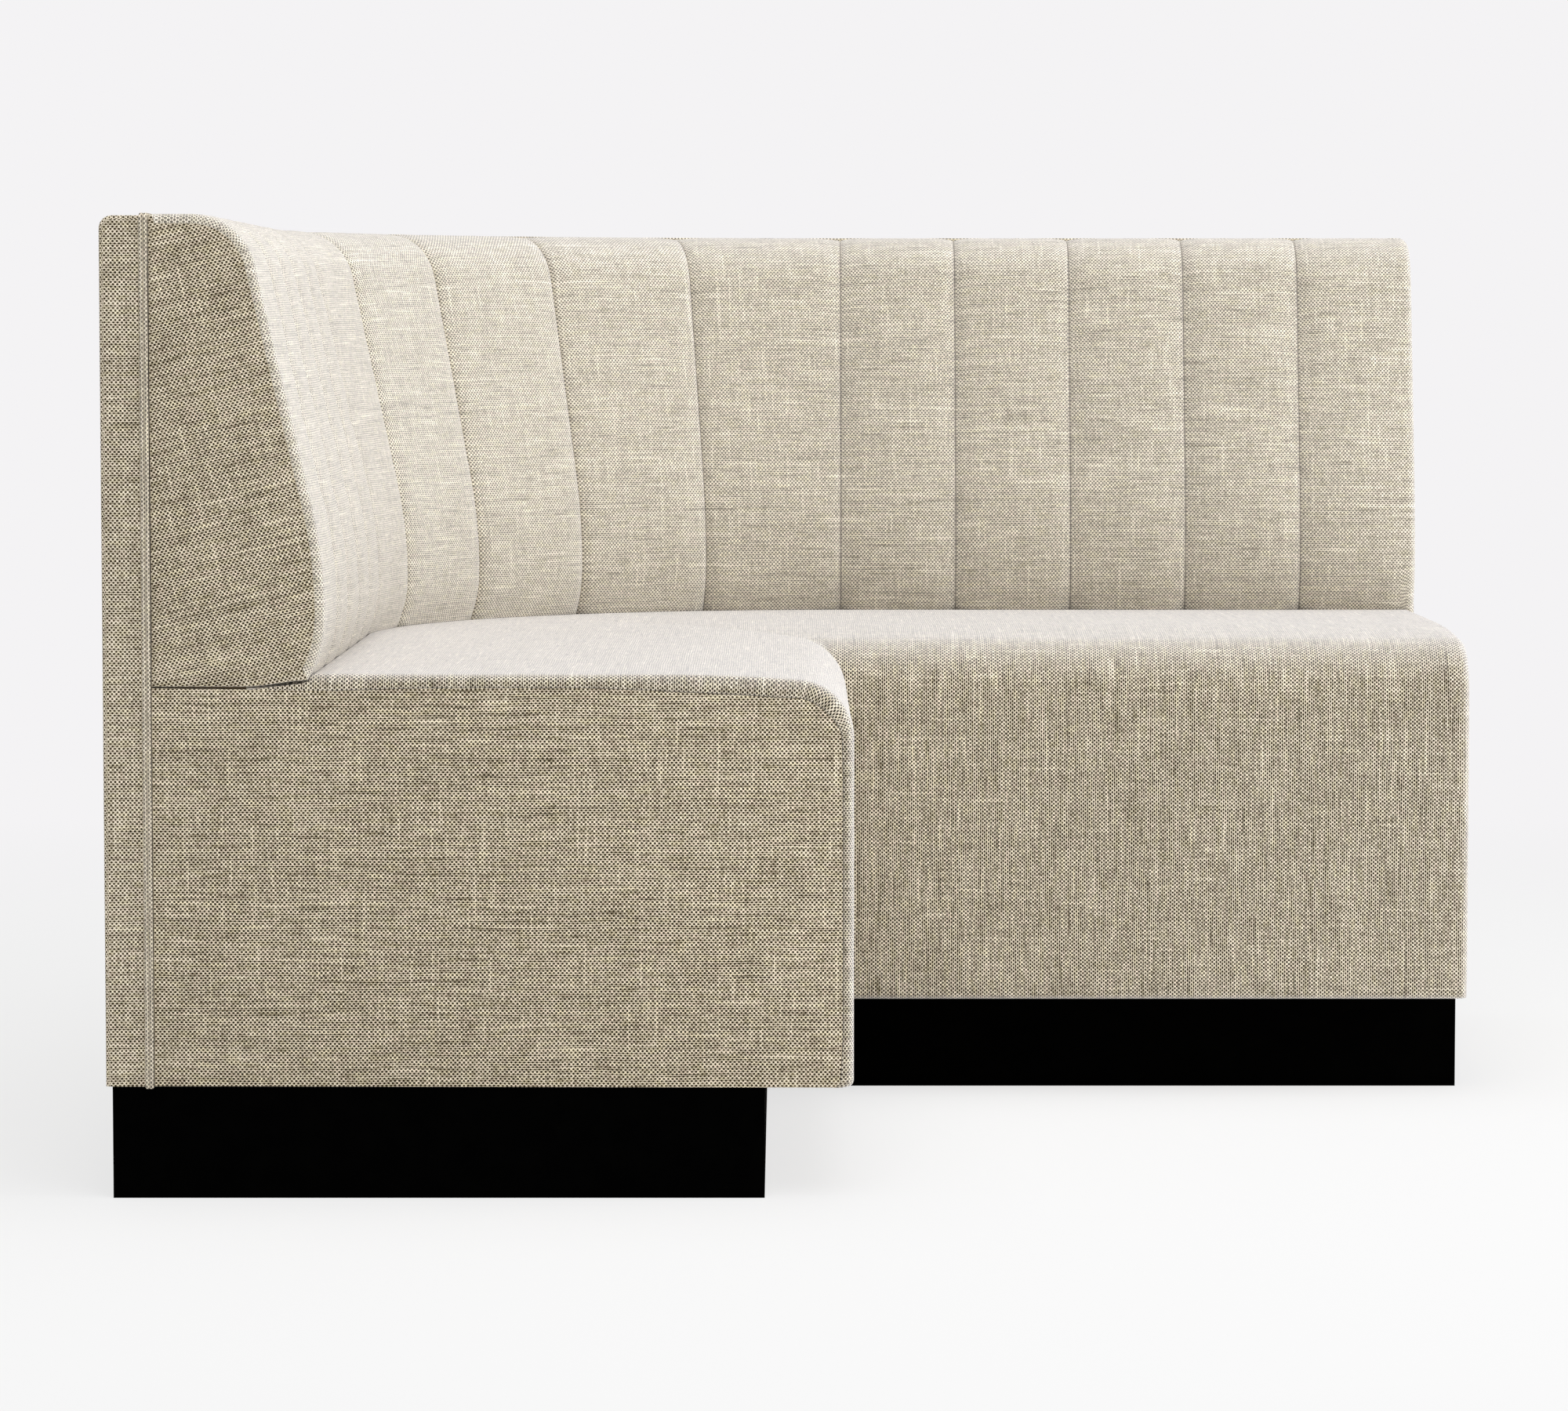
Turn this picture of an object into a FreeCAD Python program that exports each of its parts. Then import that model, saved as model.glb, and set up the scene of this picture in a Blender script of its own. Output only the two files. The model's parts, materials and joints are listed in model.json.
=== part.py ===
import FreeCAD, Part
import math
import os
import re

import Sketcher
from FreeCAD import Placement, Rotation, Vector

# A corner banquette: two equal wings with a channel-tufted back that turns the corner on an arc.
# The arc's centre is the seat's inner corner. The frame's origin is the bottom centre of the whole,
# +X runs along the right wing, +Y points at the wall behind it and +Z is up.
# Places along a wing are given as t, from the inner corner to the wing's end, and o, from the
# outer face of the back towards the front. The left wing mirrors the right one.

doc = FreeCAD.newDocument("corner_banquette")

# Driving dimensions: lengths in millimetres, angles in degrees.
driving_sizes = {
    "wing_depth": 696,
    "body_length": 1352,
    "back_height": 914,
    "seat_height": 489,
    "plinth_height": 105,
    "plinth_front_recess": 83,
    "plinth_back_recess": 6,
    "plinth_end_recess": 2.5,
    "plinth_board": 18,
    "frame_board": 18,
    "deck_board": 12,
    "liner_board": 6,
    "outside_skin": 5,
    "outside_drop": 1.5,
    "strip_width": 37,
    "strip_roll": 12,
    "welt_cord": 4,
    "welt_tape": 0.5,
    "welt_drop": 2,
    "end_pad": 12,
    "end_roll": 10,
    "top_rail_height": 36,
    "rib_top_depth": 66,
    "ledge_depth": 37,
    "top_flat": 42,
    "bulge_rise": 56,
    "bulge_radius": 450,
    "foot_tuck": 13,
    "recline": 13,
    "top_roll": 60,
    "foot_overlap": 19,
    "channel_sink": 11,
    "channel_dip": 3,
    "end_sink": 2,
    "channels_per_wing": 5,
    "channels_in_corner": 5,
    "soft_gap": 0.3,
    "cover_skin": 3,
    "front_padding": 12,
    "foam_height": 97,
    "felt_thickness": 3,
    "nose_radius": 54,
    "brow_radius": 1500,
    "brow_angle": 5,
    "clip_height": 6,
    "clip_length": 24,
    "clip_width": 12,
    "spring_rail_height": 50,
    "spring_count": 5,
    "spring_loops": 18,
    "spring_width": 50,
    "spring_wire": 3.6,
    "post_width": 45,
    "post_clearance": 10,
    "bracket_leg": 40,
    "bracket_width": 30,
    "bracket_steel": 3,
    "screw_diameter": 4,
    "screw_grip": 12,
    "screw_head": 8,
    "screw_head_height": 2,
    "cut_overrun": 5,
}

# Places and sizes that follow from the driving ones.
derived_places = {
    "welt_stand": "welt_tape + welt_cord / 2",
    "half_span": "(body_length + welt_stand) / 2",
    "corner_place": "wing_depth - half_span",
    "straight_run": "body_length - wing_depth",
    "end_inside": "straight_run - end_pad",
    "wrap_depth": "strip_width + 2 * welt_cord",
    "board_face": "outside_skin + frame_board",
    "strip_top": "back_height - outside_drop",
    "rail_top": "strip_top - outside_skin",
    "rail_bottom": "rail_top - top_rail_height",
    "base_top": "plinth_height + frame_board",
    "support_top": "seat_height - cover_skin - foam_height - felt_thickness - clip_height",
    "deck_top": "support_top + clip_height",
    "deck_bottom": "deck_top - deck_board",
    "felt_top": "deck_top + felt_thickness",
    "bulge_height": "seat_height + bulge_rise",
    "flat_foot_height": "bulge_height + bulge_radius * sin(recline)",
    "flat_top_height": "back_height - top_roll * (1 - sin(recline))",
    "roll_depth": "wrap_depth + top_flat + top_roll * cos(recline)",
    "flat_run": "(flat_top_height - flat_foot_height) * tan(recline)",
    "back_reach": "roll_depth + flat_run + bulge_radius * (1 - cos(recline))",
    "pad_foot_height": "seat_height - foot_overlap",
    "frame_front": "back_reach - foot_tuck",
    "seat_rear": "frame_front + soft_gap",
    "ledge_bottom": "pad_foot_height - frame_board",
    "front_board_face": "cover_skin + front_padding",
    "front_board_back": "front_board_face + frame_board",
    "rib_foot_depth": "frame_front - ledge_depth",
    "rib_slope": "(rib_foot_depth - rib_top_depth) / (rail_bottom - ledge_bottom)",
    "liner_foot_depth": "rib_foot_depth - frame_board * rib_slope",
    "foot_radius": "(bulge_rise * bulge_rise + foot_tuck * foot_tuck) / (2 * foot_tuck)",
    "panel_top": "seat_height - end_pad",
    "plinth_front_back": "plinth_front_recess + plinth_board",
    "plinth_back_face": "plinth_back_recess + plinth_board",
    "plinth_end_inside": "straight_run - plinth_end_recess - plinth_board",
    "corner_board_face": "wing_depth - sqrt((wing_depth - board_face)^2 - (frame_board / 2)^2)",
    "corner_frame_start": "(front_board_back + post_width) * sqrt(2) + post_clearance",
    "spring_row_start": "frame_board",
    "spring_row_end": "end_inside - frame_board",
}

middle_frame_share = 0.5
cross_member_share = 0.5
corner_frame_shares = (0.25, 0.5, 0.75)
bracket_shares = (0.2, 0.7)
crown_shares = ((0, 1), (0.25, 0.25), (0.5, 0), (0.75, 0.25), (1, 1))
end_crown_shares = ((0, 1), (0.25, 0.25), (0.5, 0))


def with_sheets(formula):
    """Points each named value in a formula at the sheet that holds it."""
    def owner(match):
        word = match.group(0)
        if word in driving_sizes:
            return "sizes." + word
        if word in derived_places:
            return "places." + word
        return word
    return re.sub(r"[a-z_]+", owner, formula)


sizes = doc.addObject("Spreadsheet::Sheet", "sizes")
for row, (alias, number) in enumerate(driving_sizes.items(), start=1):
    sizes.set(f"A{row}", alias)
    sizes.set(f"B{row}", str(number))
    sizes.setAlias(f"B{row}", alias)
doc.recompute()

places = doc.addObject("Spreadsheet::Sheet", "places")
for row, alias in enumerate(derived_places, start=1):
    places.set(f"A{row}", alias)
    places.setAlias(f"B{row}", alias)
for row, formula in enumerate(derived_places.values(), start=1):
    places.set(f"B{row}", "=" + with_sheets(formula).replace("places.", ""))
doc.recompute()


class Values:
    """Reads a named size or place as a plain number."""
    def __getattr__(self, name):
        sheet = sizes if name in driving_sizes else places
        return float(sheet.get(name))


at = Values()
sub_parts = []


def bind(thing, formulas):
    for prop, formula in formulas.items():
        thing.setExpression(prop, with_sheets(formula))


def keep(thing):
    """Marks an object as a sub-part that is written out under its Label."""
    sub_parts.append(thing)
    return thing


def board(name, t, o, z):
    """A straight board of the right wing, from its low and high formulas along t, o and z."""
    box = doc.addObject("Part::Box", name)
    box.Label = name
    bind(box, {
        "Length": f"({t[1]}) - ({t[0]})",
        "Width": f"({o[1]}) - ({o[0]})",
        "Height": f"({z[1]}) - ({z[0]})",
        "Placement.Base.x": f"corner_place + ({t[0]})",
        "Placement.Base.y": f"half_span - ({o[1]})",
        "Placement.Base.z": z[0],
    })
    return box


def quarter(name, o, z):
    """A quarter of a disc behind the inner corner, out to o, between two heights."""
    disc = doc.addObject("Part::Cylinder", name)
    disc.Label = name
    disc.Angle = 90
    disc.Placement = Placement(Vector(), Rotation(Vector(0, 0, 1), 90))
    bind(disc, {
        "Radius": f"wing_depth - ({o})",
        "Height": f"({z[1]}) - ({z[0]})",
        "Placement.Base.x": "corner_place",
        "Placement.Base.y": "-corner_place",
        "Placement.Base.z": z[0],
    })
    return disc


def cut(name, base, tool):
    result = doc.addObject("Part::Cut", name)
    result.Label = name
    result.Base = base
    result.Tool = tool
    return result


def taller(z):
    """The same heights with the cutting overrun at both ends."""
    return f"{z[0]} - cut_overrun", f"{z[1]} + cut_overrun"


def quarter_ring(name, o, z):
    """A curved board round the corner, between two places along o."""
    outside = quarter(name + "_outside", o[0], z)
    inside = quarter(name + "_inside", o[1], taller(z))
    return cut(name, outside, inside)


def notched_quarter(name, o, z, notch):
    """A quarter disc with a square notch at the inner corner."""
    disc = quarter(name + "_disc", o, z)
    room = board(
        name + "_notch", (f"-({notch})", "cut_overrun"),
        (f"wing_depth - ({notch})", "wing_depth + cut_overrun"), taller(z),
    )
    return cut(name, disc, room)


def group(name, members):
    bundle = doc.addObject("Part::Compound", name)
    bundle.Label = name
    bundle.Links = members
    return bundle


def mirrored(name, source):
    """The left wing's twin of a right-wing piece."""
    twin = doc.addObject("Part::Mirroring", name)
    twin.Label = name
    twin.Source = source
    twin.Normal = Vector(1, 1, 0)
    bind(twin, {"Base.x": "corner_place", "Base.y": "-corner_place"})
    return twin


def both_wings(name, right):
    """Keeps a right-wing piece and its twin as name_right and name_left."""
    right.Label = name + "_right"
    keep(right)
    keep(mirrored(name + "_left", right))


def pair(name, right):
    """Both wings' copies of a piece in one group."""
    return group(name, [right, mirrored(name + "_twin", right)])


def plate(name, outline, thickness):
    """A body whose polygon outline lies on its XY plane and is padded along its Z axis."""
    body = doc.addObject("PartDesign::Body", name)
    body.Label = name
    plane = next(part for part in body.Origin.OriginFeatures if part.Role == "XY_Plane")
    sketch = body.newObject("Sketcher::SketchObject", name + "_outline")
    sketch.AttachmentSupport = [(plane, "")]
    sketch.MapMode = "FlatFace"
    count = len(outline)
    ring = [
        Vector(2 + math.cos(2 * math.pi * k / count), 2 + math.sin(2 * math.pi * k / count), 0)
        * at.wing_depth
        for k in range(count)
    ]
    for k in range(count):
        sketch.addGeometry(Part.LineSegment(ring[k], ring[(k + 1) % count]), False)
    for k in range(count):
        sketch.addConstraint(Sketcher.Constraint("Coincident", k, 2, (k + 1) % count, 1))
    for k, (across, up) in enumerate(outline):
        for kind, start, formula in (("DistanceX", ring[k].x, across), ("DistanceY", ring[k].y, up)):
            number = sketch.addConstraint(Sketcher.Constraint(kind, -1, 1, k, 1, start))
            sketch.setExpression(f"Constraints[{number}]", with_sheets(formula))
    pad = body.newObject("PartDesign::Pad", name + "_pad")
    pad.Profile = sketch
    bind(pad, {"Length": thickness})
    return body


def plan_plate(name, corners, z):
    """A plate seen from above: corners as (t, distance behind the front face), with low and high z."""
    outline = [(f"wing_depth + ({t})", f"2 * half_span - wing_depth + ({behind})") for t, behind in corners]
    body = plate(name, outline, f"({z[1]}) - ({z[0]})")
    bind(body, {
        "Placement.Base.x": "-half_span",
        "Placement.Base.y": "-half_span",
        "Placement.Base.z": z[0],
    })
    return body


side_view = Rotation(Vector(0, -1, 0), Vector(0, 0, 1), Vector(-1, 0, 0), "XYZ")


def side_plate(name, outline, thickness, far_t):
    """A plate seen from the wing's end: outline as (o, z), with its outer face at far_t."""
    body = plate(name, outline, thickness)
    body.Placement = Placement(Vector(), side_view)
    bind(body, {
        "Placement.Base.x": f"corner_place + ({far_t})",
        "Placement.Base.y": "half_span",
    })
    return body


def shaped(name, shape, place=Placement()):
    """A piece whose shape is worked out by Part's own functions."""
    feature = doc.addObject("Part::Feature", name)
    feature.Label = name
    feature.Shape = shape
    feature.Placement = place
    return feature


corner_point = Vector(at.corner_place, -at.corner_place, 0)
up = Vector(0, 0, 1)


def wing_spot(t):
    """Turns (o, z) into a point of the right wing's cross-section at t."""
    def spot(o, z):
        return Vector(at.corner_place + t, at.half_span - o, z)
    return spot


def corner_spot(angle):
    """Turns (o, z) into a point of the corner's section, turned by an angle from the right wing."""
    turn = math.radians(angle)

    def spot(o, z):
        reach = at.wing_depth - o
        return corner_point + Vector(-reach * math.sin(turn), reach * math.cos(turn), z)
    return spot


def block(t, o, z):
    """A plain block of the right wing between two places along t, o and z."""
    return Part.makeBox(t[1] - t[0], o[1] - o[0], z[1] - z[0], wing_spot(t[0])(o[1], z[0]))


def to_left(shape):
    return shape.mirror(corner_point, Vector(1, 1, 0))


def on_circle(centre, radius, angle):
    """A point of a circle in section, its angle in degrees, measured up from straight ahead."""
    turn = math.radians(angle)
    return centre[0] + radius * math.cos(turn), centre[1] + radius * math.sin(turn)


def closed_wire(points, arcs, spot):
    """Joins points by lines, or by an arc through the middle point that arcs gives."""
    edges = []
    for k, point in enumerate(points):
        start = spot(*point)
        finish = spot(*points[(k + 1) % len(points)])
        if k in arcs:
            edges.append(Part.Arc(start, spot(*arcs[k]), finish).toShape())
        else:
            edges.append(Part.LineSegment(start, finish).toShape())
    return Part.Wire(edges)


def rounded_end(solid, keep_sharp):
    """Rounds the edges at the wing's end face, apart from those that keep_sharp picks."""
    end_x = at.corner_place + at.straight_run
    edges = []
    for edge in solid.Edges:
        at_end = all(abs(vertex.X - end_x) < at.soft_gap for vertex in edge.Vertexes)
        if at_end and not keep_sharp(edge.BoundBox):
            edges.append(edge)
    return solid.makeFillet(min(at.end_roll, at.end_pad - at.soft_gap), edges)


# The plinth: black boards set back under the body, most at the fronts.
plinth_z = ("0", "plinth_height")
plinth_back_o = ("plinth_back_recess", "plinth_back_face")
front_plinth = plan_plate("plinth_front_plate", [
    ("-plinth_front_recess", "plinth_front_recess"),
    ("-plinth_front_back", "plinth_front_back"),
    ("plinth_end_inside", "plinth_front_back"),
    ("plinth_end_inside", "plinth_front_recess"),
], plinth_z)
back_plinth = board("plinth_back_board", ("0", "plinth_end_inside"), plinth_back_o, plinth_z)
base_panel = board(
    "base_panel_board", ("0", "end_inside"),
    ("board_face", "wing_depth - front_board_face"), ("plinth_height", "base_top"),
)


def cross_members(name, start):
    return pair(name, board(
        name + "_board", (start, f"{start} + plinth_board"),
        ("plinth_back_face", "wing_depth - plinth_front_back"), plinth_z,
    ))


def diagonal_member(name):
    """The board under the corner, from the mitre of the front boards to the curved one."""
    half_board = at.plinth_board / 2
    start = math.sqrt(2) * at.plinth_front_back + half_board
    finish = math.sqrt((at.wing_depth - at.plinth_back_face) ** 2 - half_board ** 2)
    length = finish - start
    shape = Part.makeBox(length, at.plinth_board, at.plinth_height, Vector(start, -half_board, 0))
    return shaped(name, shape, Placement(corner_point, Rotation(up, 135)))


def bracket_and_screws(t, face, way):
    """An angle bracket and its two screws, on a plinth board's face at o = face.

    The bracket's other leg lies under the base panel. way is 1 where the board lies towards the front.
    """
    side = (t - at.bracket_width / 2, t + at.bracket_width / 2)
    upright = sorted((face, face - way * at.bracket_steel))
    flat = sorted((face, face - way * at.bracket_leg))
    legs = block(side, upright, (at.plinth_height - at.bracket_leg, at.plinth_height))
    legs = legs.fuse(block(side, flat, (at.plinth_height - at.bracket_steel, at.plinth_height)))
    middle = (at.bracket_leg + at.bracket_steel) / 2
    spot = wing_spot(t)
    screws = []
    for seat, inward in (
        (spot(face - way * middle, at.plinth_height - at.bracket_steel), up),
        (spot(face - way * at.bracket_steel, at.plinth_height - middle), Vector(0, -way, 0)),
    ):
        head_start = seat - inward * at.screw_head_height
        head = Part.makeCylinder(at.screw_head / 2, at.screw_head_height, head_start, inward)
        length = at.bracket_steel + at.screw_grip
        screws.append(head.fuse(Part.makeCylinder(at.screw_diameter / 2, length, seat, inward)))
    return legs.cut(Part.makeCompound(screws)), screws


bracket_shapes = []
screw_shapes = []
for share in bracket_shares:
    for face, way in ((at.wing_depth - at.plinth_front_back, 1), (at.plinth_back_face, -1)):
        bracket, screws = bracket_and_screws(at.straight_run * share, face, way)
        bracket_shapes.append(bracket)
        screw_shapes.extend(screws)
wing_brackets = shaped("wing_brackets", Part.makeCompound(bracket_shapes))
wing_screws = shaped("wing_screws", Part.makeCompound(screw_shapes))

both_wings("plinth_front", cut("plinth_front_drilled", front_plinth, wing_screws))
both_wings("plinth_end", board(
    "plinth_end_board", ("plinth_end_inside", "plinth_end_inside + plinth_board"),
    ("plinth_back_recess", "wing_depth - plinth_front_recess"), plinth_z,
))
both_wings("plinth_back", cut("plinth_back_drilled", back_plinth, wing_screws))
keep(quarter_ring("plinth_back_corner", plinth_back_o, plinth_z))
keep(group("plinth_cross_members", [
    cross_members("cross_members_near", "0"),
    cross_members("cross_members_far", f"straight_run * {cross_member_share}"),
    diagonal_member("cross_member_diagonal"),
]))
keep(pair("plinth_brackets", wing_brackets))
keep(pair("bracket_screws", wing_screws))

# The body's floor, and the boards and frames that stand on it.
both_wings("base_panel", cut("base_panel_drilled", base_panel, wing_screws))
keep(notched_quarter("base_panel_corner", "board_face", ("plinth_height", "base_top"), "front_board_face"))
both_wings("seat_front_board", plan_plate("seat_front_plate", [
    ("-front_board_face", "front_board_face"),
    ("-front_board_back", "front_board_back"),
    ("end_inside", "front_board_back"),
    ("end_inside", "front_board_face"),
], ("base_top", "support_top")))
keep(plan_plate("inner_corner_post", [
    ("-front_board_back - post_width", "front_board_back"),
    ("-front_board_back - post_width", "front_board_back + post_width"),
    ("-front_board_back", "front_board_back + post_width"),
    ("-front_board_back", "front_board_back"),
], ("base_top", "deck_bottom")))


def frame_outline(front, seat_top, rear="board_face"):
    """A frame's profile: its seat part reaches forward to front, its back part carries the back."""
    return [
        (rear, "base_top"),
        (front, "base_top"),
        (front, seat_top),
        ("frame_front", seat_top),
        ("frame_front", "ledge_bottom"),
        ("rib_foot_depth", "ledge_bottom"),
        ("rib_top_depth", "rail_bottom"),
        (rear, "rail_bottom"),
    ]


behind_front = "wing_depth - front_board_back"
both_wings("end_frame", side_plate(
    "end_frame_plate", frame_outline(behind_front, "support_top"), "frame_board", "end_inside",
))
keep(group("wing_frames", [
    pair("first_frames", side_plate(
        "first_frame", frame_outline(behind_front, "support_top"), "frame_board", "frame_board",
    )),
    pair("middle_frames", side_plate(
        "middle_frame", frame_outline(behind_front, "support_top - spring_rail_height"),
        "frame_board", f"straight_run * {middle_frame_share}",
    )),
]))


def corner_frame(number, share):
    """A radial frame under the corner, centred on its share of the quarter turn."""
    outline = frame_outline("wing_depth - corner_frame_start", "deck_bottom", "corner_board_face")
    body = plate(f"corner_frame_{number}", outline, "frame_board")
    turn = 90 * share
    turning = Rotation(up, turn)
    outer_face = corner_spot(turn)(0, 0) + turning.multVec(Vector(at.frame_board / 2, 0, 0))
    body.Placement = Placement(outer_face, turning * side_view)
    return body


keep(group("corner_frames", [corner_frame(k, share) for k, share in enumerate(corner_frame_shares, start=1)]))

# The seat's support: rails and sinuous springs in the wings, and a board in the corner.
keep(pair("spring_rails", board(
    "spring_rail", ("spring_row_start", "spring_row_end"),
    ("frame_front", "frame_front + frame_board"), ("support_top - spring_rail_height", "support_top"),
)))
keep(notched_quarter("corner_deck", "frame_front", ("deck_bottom", "deck_top"), "front_board_back"))

spring_level = at.support_top + at.clip_height / 2
spring_front = at.wing_depth - at.front_board_face - at.frame_board / 2
spring_back = at.frame_front + at.frame_board / 2
spring_spacing = (at.spring_row_end - at.spring_row_start) / at.spring_count
spring_places = [
    at.spring_row_start + spring_spacing / 2 + spring_spacing * k for k in range(int(at.spring_count))
]


def spring(t):
    """A sinuous spring from the front board's top to the rear rail's: rungs joined by half turns."""
    pitch = (spring_front - spring_back) / at.spring_loops
    half_rung = (at.spring_width - pitch) / 2
    edges = []
    side = -1
    for k in range(int(at.spring_loops) + 1):
        o = spring_front - k * pitch
        start = wing_spot(t + side * half_rung)(o, spring_level)
        finish = wing_spot(t - side * half_rung)(o, spring_level)
        edges.append(Part.LineSegment(start, finish).toShape())
        if k < at.spring_loops:
            side = -side
            crest = wing_spot(t + side * at.spring_width / 2)(o - pitch / 2, spring_level)
            turn_end = wing_spot(t + side * half_rung)(o - pitch, spring_level)
            edges.append(Part.Arc(finish, crest, turn_end).toShape())
    path = Part.Wire(edges)
    start = wing_spot(t - half_rung)(spring_front, spring_level)
    ring = Part.Wire(Part.makeCircle(at.spring_wire / 2, start, Vector(1, 0, 0)))
    return path.makePipeShell([ring], True, False)


def clip(t, o):
    """A clip on a rail's top that holds a spring's end rung."""
    side = (t - at.clip_length / 2, t + at.clip_length / 2)
    body = block(side, (o - at.clip_width / 2, o + at.clip_width / 2), (at.support_top, at.deck_top))
    start = wing_spot(side[0] - at.cut_overrun)(o, spring_level)
    length = at.clip_length + 2 * at.cut_overrun
    return body.cut(Part.makeCylinder(at.spring_wire / 2 + at.soft_gap, length, start, Vector(1, 0, 0)))


keep(pair("seat_springs", shaped("wing_springs", Part.makeCompound([spring(t) for t in spring_places]))))
keep(pair("spring_clips", shaped("wing_clips", Part.makeCompound(
    [clip(t, o) for t in spring_places for o in (spring_front, spring_back)]
))))


def seat_outline(inset, rear, bottom, spot):
    """The seat's section: an upright front, a nose, a wide brow and a level top, all drawn in by inset."""
    step = at.brow_radius - at.nose_radius
    brow_turn = math.radians(at.brow_angle)
    brow_centre = (
        at.wing_depth - at.nose_radius - step * math.sin(brow_turn), at.seat_height - at.brow_radius
    )
    nose_centre = (at.wing_depth - at.nose_radius, brow_centre[1] + step * math.cos(brow_turn))
    nose_radius = at.nose_radius - inset
    brow_radius = at.brow_radius - inset
    nose_end = 90 - at.brow_angle
    points = [
        (at.wing_depth - inset, bottom),
        (at.wing_depth - inset, nose_centre[1]),
        on_circle(nose_centre, nose_radius, nose_end),
        on_circle(brow_centre, brow_radius, 90),
        (rear, at.seat_height - inset),
        (rear, bottom),
    ]
    arcs = {
        1: on_circle(nose_centre, nose_radius, nose_end / 2),
        2: on_circle(brow_centre, brow_radius, (nose_end + 90) / 2),
    }
    return closed_wire(points, arcs, spot)


def seat_block(inset, rear, bottom, t):
    """The seat's section run along the right wing between two places."""
    face = Part.Face(seat_outline(inset, rear, bottom, wing_spot(t[0])))
    return face.extrude(Vector(t[1] - t[0], 0, 0))


def corner_seat_block(inset, rear, bottom, overlap):
    """Both wings' sections run on into the corner, where they meet in a valley on the diagonal."""
    reach = at.wing_depth - rear
    right = seat_block(inset, rear, bottom, (-reach, overlap))
    return right.fuse(to_left(right))


def corner_disc(o, z):
    """The quarter disc behind the inner corner as a plain shape."""
    disc = Part.makeCylinder(at.wing_depth - o, z[1] - z[0], corner_point + up * z[0], up, 90)
    return disc.rotated(corner_point, up, 90)


def one_solid(shape):
    return shape.removeSplitter().Solids[0]


def wing_layer(z):
    """What lies inside the wing's cover between two heights."""
    inside = seat_block(at.cover_skin, at.seat_rear, at.plinth_height, (0, at.end_inside))
    return one_solid(inside.common(block((0, at.end_inside), (at.seat_rear, at.wing_depth), z)))


def corner_layer(z):
    """What lies inside the corner's cover between two heights."""
    inside = corner_seat_block(at.cover_skin, at.seat_rear, at.plinth_height, 0)
    return one_solid(inside.common(corner_disc(at.seat_rear, z)))


felt_z = (at.deck_top, at.felt_top)
foam_z = (at.felt_top, at.seat_height)
keep(group("support_felt", [
    pair("wing_felts", shaped("wing_felt", wing_layer(felt_z))),
    shaped("corner_felt", corner_layer(felt_z)),
]))
both_wings("seat_foam", shaped("wing_foam", wing_layer(foam_z)))
keep(shaped("seat_foam_corner", corner_layer(foam_z)))

padding_plate = plan_plate("front_padding_plate", [
    ("-cover_skin", "cover_skin"),
    ("-front_board_face", "front_board_face"),
    ("end_inside", "front_board_face"),
    ("end_inside", "cover_skin"),
], ("plinth_height", "deck_top"))
padding_room = shaped("front_padding_room", seat_block(
    at.cover_skin, at.seat_rear, at.plinth_height, (-at.front_board_face, at.end_inside)
))
front_padding = doc.addObject("Part::Common", "front_padding_board")
front_padding.Base = padding_plate
front_padding.Tool = padding_room
keep(pair("front_padding", front_padding))


def wing_cover():
    """The seat's cover: its top, nose, front and rounded end, open behind and below."""
    outside = seat_block(0, at.seat_rear, at.plinth_height, (0, at.straight_run))
    rear_y = at.half_span - at.seat_rear
    outside = rounded_end(outside, lambda box: box.ZMax < at.base_top or box.YMin > rear_y - at.soft_gap)
    rear = at.seat_rear - at.cut_overrun
    bottom = at.plinth_height - at.cut_overrun
    hollow = seat_block(at.cover_skin, rear, bottom, (-at.cut_overrun, at.end_inside))
    panel_room = seat_block(at.end_pad, rear, bottom, (at.end_inside, at.straight_run + at.cut_overrun))
    return one_solid(outside.cut(hollow).cut(panel_room))


def corner_cover():
    """The corner's part of the same cover."""
    outside = corner_seat_block(0, at.seat_rear, at.plinth_height, 0)
    outside = outside.common(corner_disc(at.seat_rear, (at.plinth_height, at.seat_height)))
    hollow = corner_seat_block(
        at.cover_skin, at.seat_rear - at.cut_overrun, at.plinth_height - at.cut_overrun, at.cut_overrun
    )
    return one_solid(outside.cut(hollow))


both_wings("seat_cover", shaped("wing_cover", wing_cover()))
keep(shaped("seat_cover_corner", corner_cover()))
both_wings("seat_end_panel", shaped("wing_end_panel", seat_block(
    at.end_pad, at.wrap_depth, at.plinth_height, (at.end_inside, at.straight_run)
)))

# The back's frame: boards behind, a rail on top, a ledge at the foot and a bent liner in front.
board_o = ("outside_skin", "board_face")
board_z = ("plinth_height", "rail_top")
rail_o = ("board_face", "wrap_depth")
rail_z = ("rail_bottom", "rail_top")
ledge_o = ("rib_foot_depth", "frame_front")
ledge_z = ("ledge_bottom", "pad_foot_height")
for name, o, z in (("back_board", board_o, board_z), ("top_rail", rail_o, rail_z), ("back_ledge", ledge_o, ledge_z)):
    keep(group(name, [
        pair(name + "_wings", board(name + "_wing", ("0", "end_inside"), o, z)),
        quarter_ring(name + "_corner", o, z),
    ]))

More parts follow.
